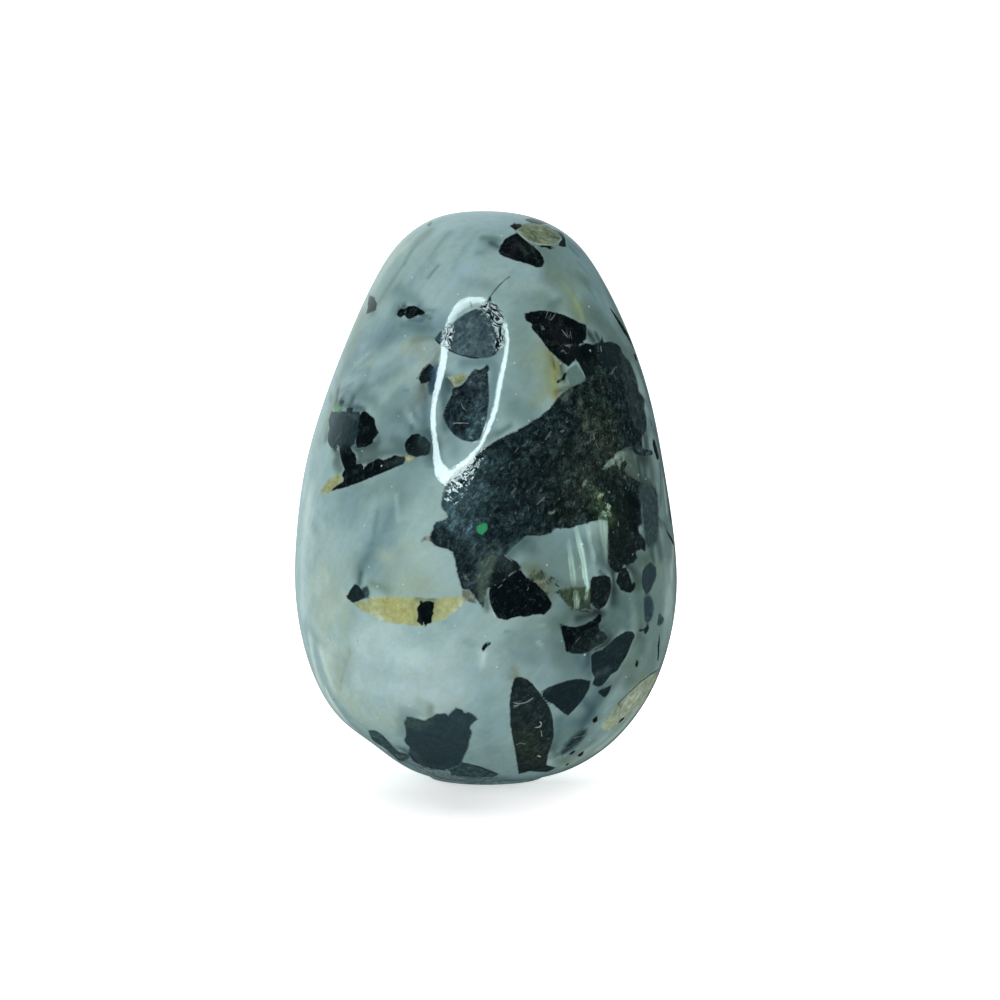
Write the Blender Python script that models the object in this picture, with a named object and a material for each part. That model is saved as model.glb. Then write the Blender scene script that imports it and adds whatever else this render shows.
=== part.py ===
"""Rainbow moonstone egg: one polished stone that stands upright on a small flat spot.

Lengths are in metres, +Z is up and the front of the stone faces -Y. The origin is the middle of the flat spot.
The stone is a stack of level ellipses. Their widths and their drift to one side come from the outline of the
front view, which is a hand-polished egg and so isn't quite the same on its left and right.
"""

import math

import bmesh
import bpy
import numpy as np

MM = 0.001

HEIGHT = 60.0 * MM
FOOT_RADIUS = 6.0 * MM  # the flat spot that the egg stands on
FOOT_EDGE = 0.25 * MM  # height of the polished round between the flat spot and the side
DEPTH_SHARE = 0.97  # front to back against left to right

# The front view's outline: height above the base, then the distance out from the middle, both in millimetres.
RIGHT_SIDE = (
    (1.0, 8.9),
    (2.3, 11.4),
    (4.0, 13.6),
    (6.5, 15.8),
    (9.8, 17.8),
    (14.0, 19.3),
    (20.0, 20.2),
    (26.5, 19.8),
    (33.0, 18.8),
    (40.0, 17.4),
    (47.0, 15.1),
    (53.0, 12.2),
    (57.0, 9.2),
    (59.2, 5.4),
)
LEFT_SIDE = (
    (1.0, 8.2),
    (2.3, 10.3),
    (4.0, 12.5),
    (6.5, 15.6),
    (9.8, 17.8),
    (14.0, 19.3),
    (20.0, 20.2),
    (26.5, 20.0),
    (33.0, 19.1),
    (40.0, 17.1),
    (47.0, 14.4),
    (53.0, 11.6),
    (57.0, 8.8),
    (59.2, 5.5),
)
CROWN_DRIFT = -0.4 * MM  # the highest point lies a little left of the foot's middle

RING_COUNT = 46
POINTS_PER_RING = 96
OUTLINE_SAMPLES = 4000


def natural_spline(knots, values, at):
    """Values at the places `at` of the smooth cubic curve through (knots, values), straight at its two ends."""
    gaps = np.diff(knots)
    slopes = np.diff(values) / gaps
    count = len(knots)
    system = np.eye(count)
    wanted = np.zeros(count)
    for i in range(1, count - 1):
        system[i, i - 1 : i + 2] = gaps[i - 1], 2 * (gaps[i - 1] + gaps[i]), gaps[i]
        wanted[i] = 6 * (slopes[i] - slopes[i - 1])
    bends = np.linalg.solve(system, wanted)
    i = np.clip(np.searchsorted(knots, at) - 1, 0, count - 2)
    after = at - knots[i]
    before = knots[i + 1] - at
    cubic = (bends[i] * before**3 + bends[i + 1] * after**3) / (6 * gaps[i])
    return (
        cubic
        + (values[i] / gaps[i] - bends[i] * gaps[i] / 6) * before
        + (values[i + 1] / gaps[i] - bends[i + 1] * gaps[i] / 6) * after
    )


def front_outline():
    """Points (x, z) of the front view, from the foot up the right side, over the crown and down the left side."""
    foot = (FOOT_RADIUS + FOOT_EDGE, FOOT_EDGE)
    right = [(out * MM, height * MM) for height, out in RIGHT_SIDE]
    left = [(-out * MM, height * MM) for height, out in reversed(LEFT_SIDE)]
    points = np.array([foot, *right, (CROWN_DRIFT, HEIGHT), *left, (-foot[0], foot[1])])
    steps = np.hypot(*np.diff(points, axis=0).T)
    knots = np.concatenate([[0], np.cumsum(steps)])
    at = np.linspace(0, knots[-1], OUTLINE_SAMPLES)
    return np.stack([natural_spline(knots, column, at) for column in points.T], axis=1)


def widths_at(outline, heights):
    """The left and right edges (x) of the outline at each height."""
    top = int(np.argmax(outline[:, 1]))
    right, left = outline[: top + 1], outline[top:][::-1]
    return (
        np.interp(heights, left[:, 1], left[:, 0]),
        np.interp(heights, right[:, 1], right[:, 0]),
    )


def ring_heights(outline):
    """Heights that cut the side into steps of about equal length, from above the foot's edge to below the crown."""
    heights = np.linspace(FOOT_EDGE, outline[:, 1].max(), OUTLINE_SAMPLES)
    left, right = widths_at(outline, heights)
    length = np.concatenate([[0], np.cumsum(np.hypot(np.diff(right - left) / 2, np.diff(heights)))])
    return np.interp(np.linspace(0, length[-1], RING_COUNT + 1)[:-1], length, heights)


def ring_points(height, left, right):
    """One level ellipse of the stone, counter-clockwise from above, starting at its right edge."""
    middle = (left + right) / 2
    half_width = (right - left) / 2
    for step in range(POINTS_PER_RING):
        angle = 2 * math.pi * step / POINTS_PER_RING
        yield (
            middle + half_width * math.cos(angle),
            half_width * DEPTH_SHARE * math.sin(angle),
            height,
        )


def stone_mesh():
    """The closed surface: the flat spot, the rings up the side and the crown."""
    outline = front_outline()
    heights = ring_heights(outline)
    lefts, rights = widths_at(outline, heights)
    bm = bmesh.new()
    foot = [bm.verts.new(p) for p in ring_points(0.0, -FOOT_RADIUS, FOOT_RADIUS)]
    bm.faces.new(reversed(foot))
    below = foot
    for height, left, right in zip(heights, lefts, rights):
        ring = [bm.verts.new(p) for p in ring_points(height, left, right)]
        for i in range(POINTS_PER_RING):
            after = (i + 1) % POINTS_PER_RING
            bm.faces.new((below[i], below[after], ring[after], ring[i]))
        below = ring
    crown = outline[int(np.argmax(outline[:, 1]))]
    top = bm.verts.new((crown[0], 0.0, crown[1]))
    for i in range(POINTS_PER_RING):
        bm.faces.new((below[i], below[(i + 1) % POINTS_PER_RING], top))
    mesh = bpy.data.meshes.new("egg")
    bm.to_mesh(mesh)
    bm.free()
    return mesh


def stone_material():
    """Polished milky feldspar, seen as one blue-grey colour."""
    material = bpy.data.materials.new("moonstone")
    material.use_nodes = True
    shader = material.node_tree.nodes["Principled BSDF"]
    shader.inputs["Base Color"].default_value = (0.30, 0.43, 0.44, 1.0)
    shader.inputs["Roughness"].default_value = 0.08
    shader.inputs["Metallic"].default_value = 0.0
    return material


def main():
    for obj in list(bpy.data.objects):
        bpy.data.objects.remove(obj)
    mesh = stone_mesh()
    mesh.materials.append(stone_material())
    mesh.shade_smooth()
    mesh.set_sharp_from_angle(angle=math.radians(30))
    egg = bpy.data.objects.new("egg", mesh)
    bpy.context.scene.collection.objects.link(egg)


main()
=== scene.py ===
"""The looks of a polished rainbow moonstone egg, on a plain pale floor.

The stone's visible surface is a fine mesh through the level rings of the CAD stone. Its crystals, stains and
cracks lie flush in the polish, so they are colour and finish: each is an outline laid flat on the stone, and
the mesh's points hold how deep they lie inside it. The material turns that depth into an edge, at any
sharpness.

Places on the front are given in pixels of the front view (1000 by 1000, y downwards) and are projected from
the camera onto the stone. Places elsewhere are given by azimuth, in degrees from the front to the right, and
height in millimetres. Lengths are in metres unless a name says otherwise.
"""

import math
import random
from collections import namedtuple

import bpy
import numpy as np
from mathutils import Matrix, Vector
from mathutils.bvhtree import BVHTree
from mathutils.interpolate import poly_3d_calc


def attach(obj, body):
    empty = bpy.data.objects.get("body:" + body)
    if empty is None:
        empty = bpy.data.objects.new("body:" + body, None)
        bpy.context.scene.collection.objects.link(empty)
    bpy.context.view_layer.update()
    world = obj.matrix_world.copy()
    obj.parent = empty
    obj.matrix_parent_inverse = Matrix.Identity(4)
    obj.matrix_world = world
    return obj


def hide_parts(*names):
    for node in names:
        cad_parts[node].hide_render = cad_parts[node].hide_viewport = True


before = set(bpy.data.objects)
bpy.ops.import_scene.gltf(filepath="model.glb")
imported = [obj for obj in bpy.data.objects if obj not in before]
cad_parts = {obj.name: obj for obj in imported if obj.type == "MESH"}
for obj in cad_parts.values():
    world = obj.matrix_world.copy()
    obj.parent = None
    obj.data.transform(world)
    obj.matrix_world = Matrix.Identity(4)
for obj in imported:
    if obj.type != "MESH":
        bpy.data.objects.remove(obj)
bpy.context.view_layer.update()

MM = 0.001
NODE = "egg"

# Camera
IMAGE_SIZE = 1000
PIXEL = 0.1057 * MM  # what one pixel of the front view covers at the aim point
CAMERA_DISTANCE = 0.5
CAMERA_RISE = math.radians(6.0)
AIM = Vector((1.48 * MM, 0.0, 29.5 * MM))
SENSOR = 36.0
CLIP_START = 0.01
MIDDLE_PIXEL = (486.0, 500.0)  # well inside the stone's outline
EDGE_STEP = 0.5  # pixels, of the search for the stone's edge from a pixel past it

# Fine surface
COLUMNS_FRONT = 284
COLUMNS_BACK = 104
FRONT_REACH = math.radians(100.0)  # the finer columns run this far to either side of the front
ROWS = 250
OUTLINE_SAMPLES = 4000
SAME_LEVEL = 0.02 * MM  # corners of the CAD stone that are this close in height lie in one ring
SNUG = 0.9994  # keeps the smooth rings within the widest of the CAD stone's
SHARP_ANGLE = math.radians(30.0)

# Floor. It glows, but less in an oval in front of the stone: a painted soft shadow, over the real one.
FLOOR_REACH = 3.0
FLOOR_WHITE = (0.9, 0.9, 0.9, 1.0)
PAINTED_SHADOW_PLACE = (-2.5 * MM, -20.0 * MM, 0.0)
PAINTED_SHADOW_SIZE = (16.0 * MM, 19.4 * MM, 1.0)  # half its width and half its depth
PAINTED_SHADOW_RAMP = (0.0, 1.9)  # where the glow starts and stops growing, in oval sizes from its middle
FLOOR_GLOW_LEAST = 0.20
FLOOR_GLOW_MOST = 1.0
FLOOR_BOUNCE = 0.6  # share of the floor's glow that lights the stone

# Room and lamps
WHITE = (1.0, 1.0, 1.0, 1.0)
BACKDROP_GLOW = 1.05
SOFT_LIGHT = 0.46
BRIGHT_SIDE = (-0.42, 0.84, 0.34)  # the direction in which the room that the polish reflects is brightest
ROOM_RAMP = (0.68, 0.92)  # cosines of the angles from it at which the room starts and ends growing brighter
ROOM_DIM = 0.025
ROOM_BRIGHT = 0.75
ROOM_COLOUR = (0.78, 1.0, 1.03)
# The soft lamps: azimuth and rise in degrees, size, and power in watts.
SOFT_LAMPS = {"key": (-35.0, 40.0, 0.5, 2.0), "top": (0.0, 88.0, 0.7, 1.2)}
SOFT_LAMP_DISTANCE = 0.8
SOFT_LAMP_AIM = Vector((0.0, 0.0, 30.0 * MM))
HIDDEN_FROM = ("camera", "diffuse", "transmission", "volume_scatter", "shadow")  # a lamp only for highlights
RING_DISTANCE = 0.45
RING_STRENGTH = 17.0
RING_COLOUR = (0.82, 1.0, 1.03)
RING_FADE = (320.0, 375.0)  # from the one row of pixels up to the other the ring is dimmer
RING_DIMMEST = (0.85, 0.30)  # there, at its outer edge and at its inner edge
BAR_DISTANCE = 0.12
BAR_COLOUR = (0.68, 1.0, 0.82)
BAR_ENDS = 0.3  # how bright the ends of the bars are against their middles

# The ring lamp's highlight in pixels of the front view, clockwise from its foot: outer edge, then inner edge.
RING_OUTER = (
    (445, 484), (440, 480.5), (437, 477), (435, 472), (434, 465), (433.2, 455), (433, 445), (432.3, 437),
    (431, 429), (430.3, 421), (431, 411), (432.4, 401), (433.8, 390), (435.8, 380), (437.8, 370),
    (440.2, 360), (441.5, 350), (442, 338), (445, 327), (448.5, 317), (452.5, 309), (458.5, 302),
    (466, 298.5), (474, 297), (483, 298), (490, 301.8), (497, 306), (502, 311.5), (505.5, 320), (508, 330),
    (509.4, 341), (508.4, 351), (507, 360), (505, 370), (503, 380), (501, 390), (499.3, 401), (496.8, 412),
    (493.2, 422), (489, 431.5), (484.5, 441), (479, 450), (475.5, 452), (475, 457), (475.5, 462),
    (470, 471.5), (461, 479.5), (452, 484),
)
RING_INNER = (
    (449, 470), (446, 467), (443.5, 463.5), (441, 459.5), (439.6, 455), (438.4, 450), (437.8, 442),
    (437, 435), (435.8, 427), (435.2, 418), (435.4, 409), (437.2, 399), (440.6, 388), (442.8, 378),
    (445.6, 368), (447.4, 358), (448, 348), (449.5, 337), (451.5, 327), (454.5, 319), (460, 314),
    (465, 309.5), (470, 306.5), (475, 304.8), (480, 304.6), (486, 306.4), (492, 309.6), (497.6, 314.5),
    (501.5, 321.5), (504, 331), (505, 341), (504.4, 350), (502.6, 360), (500.4, 370), (498.4, 380),
    (496.5, 390), (494.6, 400), (492.2, 410), (489.2, 420), (485.4, 430), (482.6, 439), (478, 446.5),
    (475, 450), (470.5, 454), (467, 457), (463.5, 460), (458, 464.5), (453, 468.5),
)

# The bars' highlights: left edge and right edge in pixels, from the top down, and the strength.
BARS = {
    "bar_a": ((((567, 541), (568.2, 559), (570.2, 575), (571.4, 586)),
               ((571.2, 541), (573.6, 559), (576.4, 575), (577.2, 586))), 6),
    "bar_a_foot": ((((573.2, 590.5), (573, 600), (574.4, 610)),
                    ((577.4, 590.5), (579.6, 600), (579.2, 610))), 8),
    "bar_b": ((((574.4, 528), (576.6, 543), (580.8, 558), (582.2, 574), (585.2, 586), (584, 600)),
               ((578.4, 528), (582.6, 543), (585.8, 558), (588, 574), (589.2, 588), (586.4, 600.4))), 10),
    "bar_c": ((((585.4, 524), (586.8, 537), (590.4, 554), (593.6, 569.5)),
               ((591.6, 524), (591.4, 537), (596.2, 556), (594.8, 569.5))), 4.4),
    "bar_d": ((((599, 516), (599.4, 526), (601.6, 543), (606, 565)),
               ((607.2, 516), (606.8, 526), (607.6, 543), (607.2, 565))), 4),
}
# Each bar is a few bright strands: where a strand starts and ends across the bar, and its share of the
# brightness.
STRANDS = ((0.0, 0.30, 0.8), (0.30, 0.48, 0.3), (0.48, 0.78, 1.0), (0.78, 1.0, 0.5))


def srgb(red, green, blue):
    """A colour as a screen shows it, 0 to 255, as linear light."""
    shares = [value / 255 for value in (red, green, blue)]
    return tuple(s / 12.92 if s <= 0.04045 else ((s + 0.055) / 1.055) ** 2.4 for s in shares)


# Polish
ROUGHNESS = 0.035
REFRACTION = 1.53
CLEARNESS = 0.2  # share of the light that goes into the stone and comes out again
CLEARNESS_DEPTH = 1.2 * MM
RELIEF = 0.0000002  # metres, of the polish over the milky body
RELIEF_WAVE = 0.0000008  # metres, of its slow waves
RELIEF_RIPPLE = 0.0000004  # metres, of its short waves
RELIEF_GRAIN = 0.0000018  # metres, of the polish over the grainiest crystals
RELIEF_FLECK = 0.0000090  # metres, of the polish over the grainiest flecks

# Milky body
BODY = srgb(143, 171, 172)
CLOUDS_LIGHTEN = 0.09  # how much lighter or darker the clouds, streaks and mottle make it
STREAKS_LIGHTEN = 0.12
MOTTLE_LIGHTENS = 0.055
WARM = (1.03, 1.0, 0.93, 1.0)
COOL = (0.96, 1.0, 1.05, 1.0)
SPARK_COLOUR = (*srgb(205, 226, 222), 1.0)
SPARK_SHARE = 0.6

# Grain, halo, lace and thin lines of the crystals, with painted glints in the grain and painted highlight in
# the lace
GRAIN_CONTRAST = 6.5  # how much lighter the lightest grains of the grainiest crystals are than their mean
# pale threads of the crystals, and painted glints of reflected light
GLINT_COLOUR = (*srgb(98, 122, 116), 1.0)
GLINT_SHARE = 0.55
HALO_COLOUR = (*srgb(176, 200, 196), 1.0)
HALO_RAMP = (-0.2, -0.1)  # mm, where the pale halo outside a dark crystal starts and is full
# the lace: dark cracks, and the painted highlight between them
LACE_CRACKS_AND_PAINTED_GLINT = ((*srgb(9, 20, 22), 1.0), (*srgb(150, 176, 178), 1.0))
LACE_GRAIN = (1.1, 1.2)  # a fleck has no lace up to the one grain, and is all lace from the other
HAIR_COLOURS = ((*srgb(18, 30, 32), 1.0), (*srgb(190, 205, 200), 1.0))
HAIR_SHARE = 0.85

# How markings are laid on the mesh
FAR = -2.0  # mm, the depth of a point that no outline is near
MARGIN = 0.9  # mm, how far outside an outline its depth is still worked out
UNUSED_EDGE = 0.1  # mm, the width of the edge that is stored where no crystal is near
NEARLY_UPRIGHT = 0.05  # level share of a facing below which the flat frame's right is +X
OUTSIDE = 0.1  # from the axis, well outside the stone
SAME_SIDE = -0.2  # cosine of the widest angle between a spot's facing and a point's
DRIFT_SEED = 5
DRIFT_WAVES = 24
DRIFT_LENGTHS = (2.0, 12.0)  # mm
DRIFT_PEAK = 1.5
VEIL_REACH = 3.0  # a veil is worked out this many widths from its line
VEIL_DRIFT = 0.45  # share by which a veil's width drifts
VEIL_TIGHTEST = 0.3  # the least share of a place's distance from a veil that the drift leaves
HAIR_BAND = 0.6  # mm, how far to its sides a thin line's distance is stored
HAIR_CORE = 0.5  # mm, how far to its sides its width is
HAIR_RIVAL = 0.3  # mm, how much nearer another line may already be
HAIR_END = 0.15  # mm, how far a line tapers past its ends
HAIR_DIP = 0.4  # share of its width by which it has gone below zero there

LAYERS = ("pale", "dark", "fleck")  # of crystals, from the lowest up
# Kinds of crystal: layer, colour, then the width of the edge and how ragged it is, both in millimetres,
# then the grain. The grainiest flecks are all lace: dark cracks with painted highlight between them.
Kind = namedtuple("Kind", "layer colour soft ragged grain")
KINDS = {
    "black": Kind("dark", srgb(6, 14, 17), 0.14, 0.14, 0.40),
    "slate": Kind("dark", srgb(24, 38, 42), 0.15, 0.10, 0.25),
    "blue": Kind("dark", srgb(32, 50, 56), 0.18, 0.12, 0.30),
    "steel": Kind("dark", srgb(44, 62, 68), 0.22, 0.14, 0.16),
    "sunk": Kind("dark", srgb(46, 68, 73), 0.30, 0.20, 0.50),
    "dusk": Kind("dark", srgb(48, 66, 74), 0.35, 0.18, 0.25),
    "strip": Kind("dark", srgb(40, 54, 55), 0.50, 0.25, 0.60),
    "curtain": Kind("dark", srgb(53, 71, 72), 0.70, 0.30, 0.40),
    # pale band on the foot's edge: painted light from the floor
    "rim": Kind("dark", srgb(122, 144, 148), 0.60, 0.40, 0.50),
    "shale": Kind("dark", srgb(60, 82, 85), 0.20, 0.14, 0.60),
    "fibrous": Kind("dark", srgb(20, 33, 36), 0.16, 0.17, 1.00),
    "woven": Kind("dark", srgb(50, 72, 78), 0.14, 0.10, 0.50),
    "basket": Kind("dark", srgb(28, 45, 51), 0.16, 0.10, 1.00),
    "green_black": Kind("dark", srgb(18, 28, 28), 0.15, 0.14, 0.45),
    "mottled": Kind("dark", srgb(29, 42, 43), 0.14, 0.10, 0.50),
    "moss": Kind("dark", srgb(62, 77, 62), 0.30, 0.32, 0.40),
    "yellow": Kind("pale", srgb(160, 167, 121), 0.18, 0.18, 0.22),
    "beige": Kind("pale", srgb(147, 162, 141), 0.60, 0.60, 0.35),
    "olive": Kind("pale", srgb(116, 132, 108), 0.14, 0.06, 0.60),
    "ochre": Kind("pale", srgb(144, 152, 110), 0.35, 0.30, 0.40),
    "tan": Kind("pale", srgb(102, 112, 100), 0.20, 0.15, 0.40),
    "clear": Kind("fleck", srgb(92, 119, 114), 0.20, 0.10, 0.15),
    "green": Kind("fleck", srgb(51, 140, 96), 0.14, 0.05, 0.10),
    "leaf": Kind("fleck", srgb(84, 136, 88), 0.30, 0.20, 0.40),
    "haze": Kind("fleck", srgb(77, 96, 88), 0.70, 0.25, 0.30),
    "film": Kind("fleck", srgb(66, 82, 76), 0.45, 0.25, 0.40),
    "chip": Kind("fleck", srgb(98, 116, 108), 0.16, 0.20, 0.50),
    "blade": Kind("fleck", srgb(124, 148, 134), 0.18, 0.20, 0.50),
    "spark": Kind("fleck", srgb(58, 72, 60), 0.25, 0.30, 0.60),
    # painted reflection of the window bars, broken up over a crystal
    "glaze": Kind("fleck", srgb(118, 146, 122), 0.16, 0.40, 0.90),
    "crackle": Kind("fleck", srgb(50, 73, 78), 0.40, 0.35, 1.00),
    # painted highlight: lace where the ring lamp's reflection breaks up over a crystal
    "frost": Kind("fleck", srgb(112, 138, 142), 0.30, 0.50, 1.35),
    "rust": Kind("fleck", srgb(90, 84, 68), 0.25, 0.30, 0.60),
    "ink": Kind("fleck", srgb(10, 20, 20), 0.14, 0.10, 0.20),
    "dash": Kind("fleck", srgb(6, 14, 14), 0.10, 0.03, 0.10),
}

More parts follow.
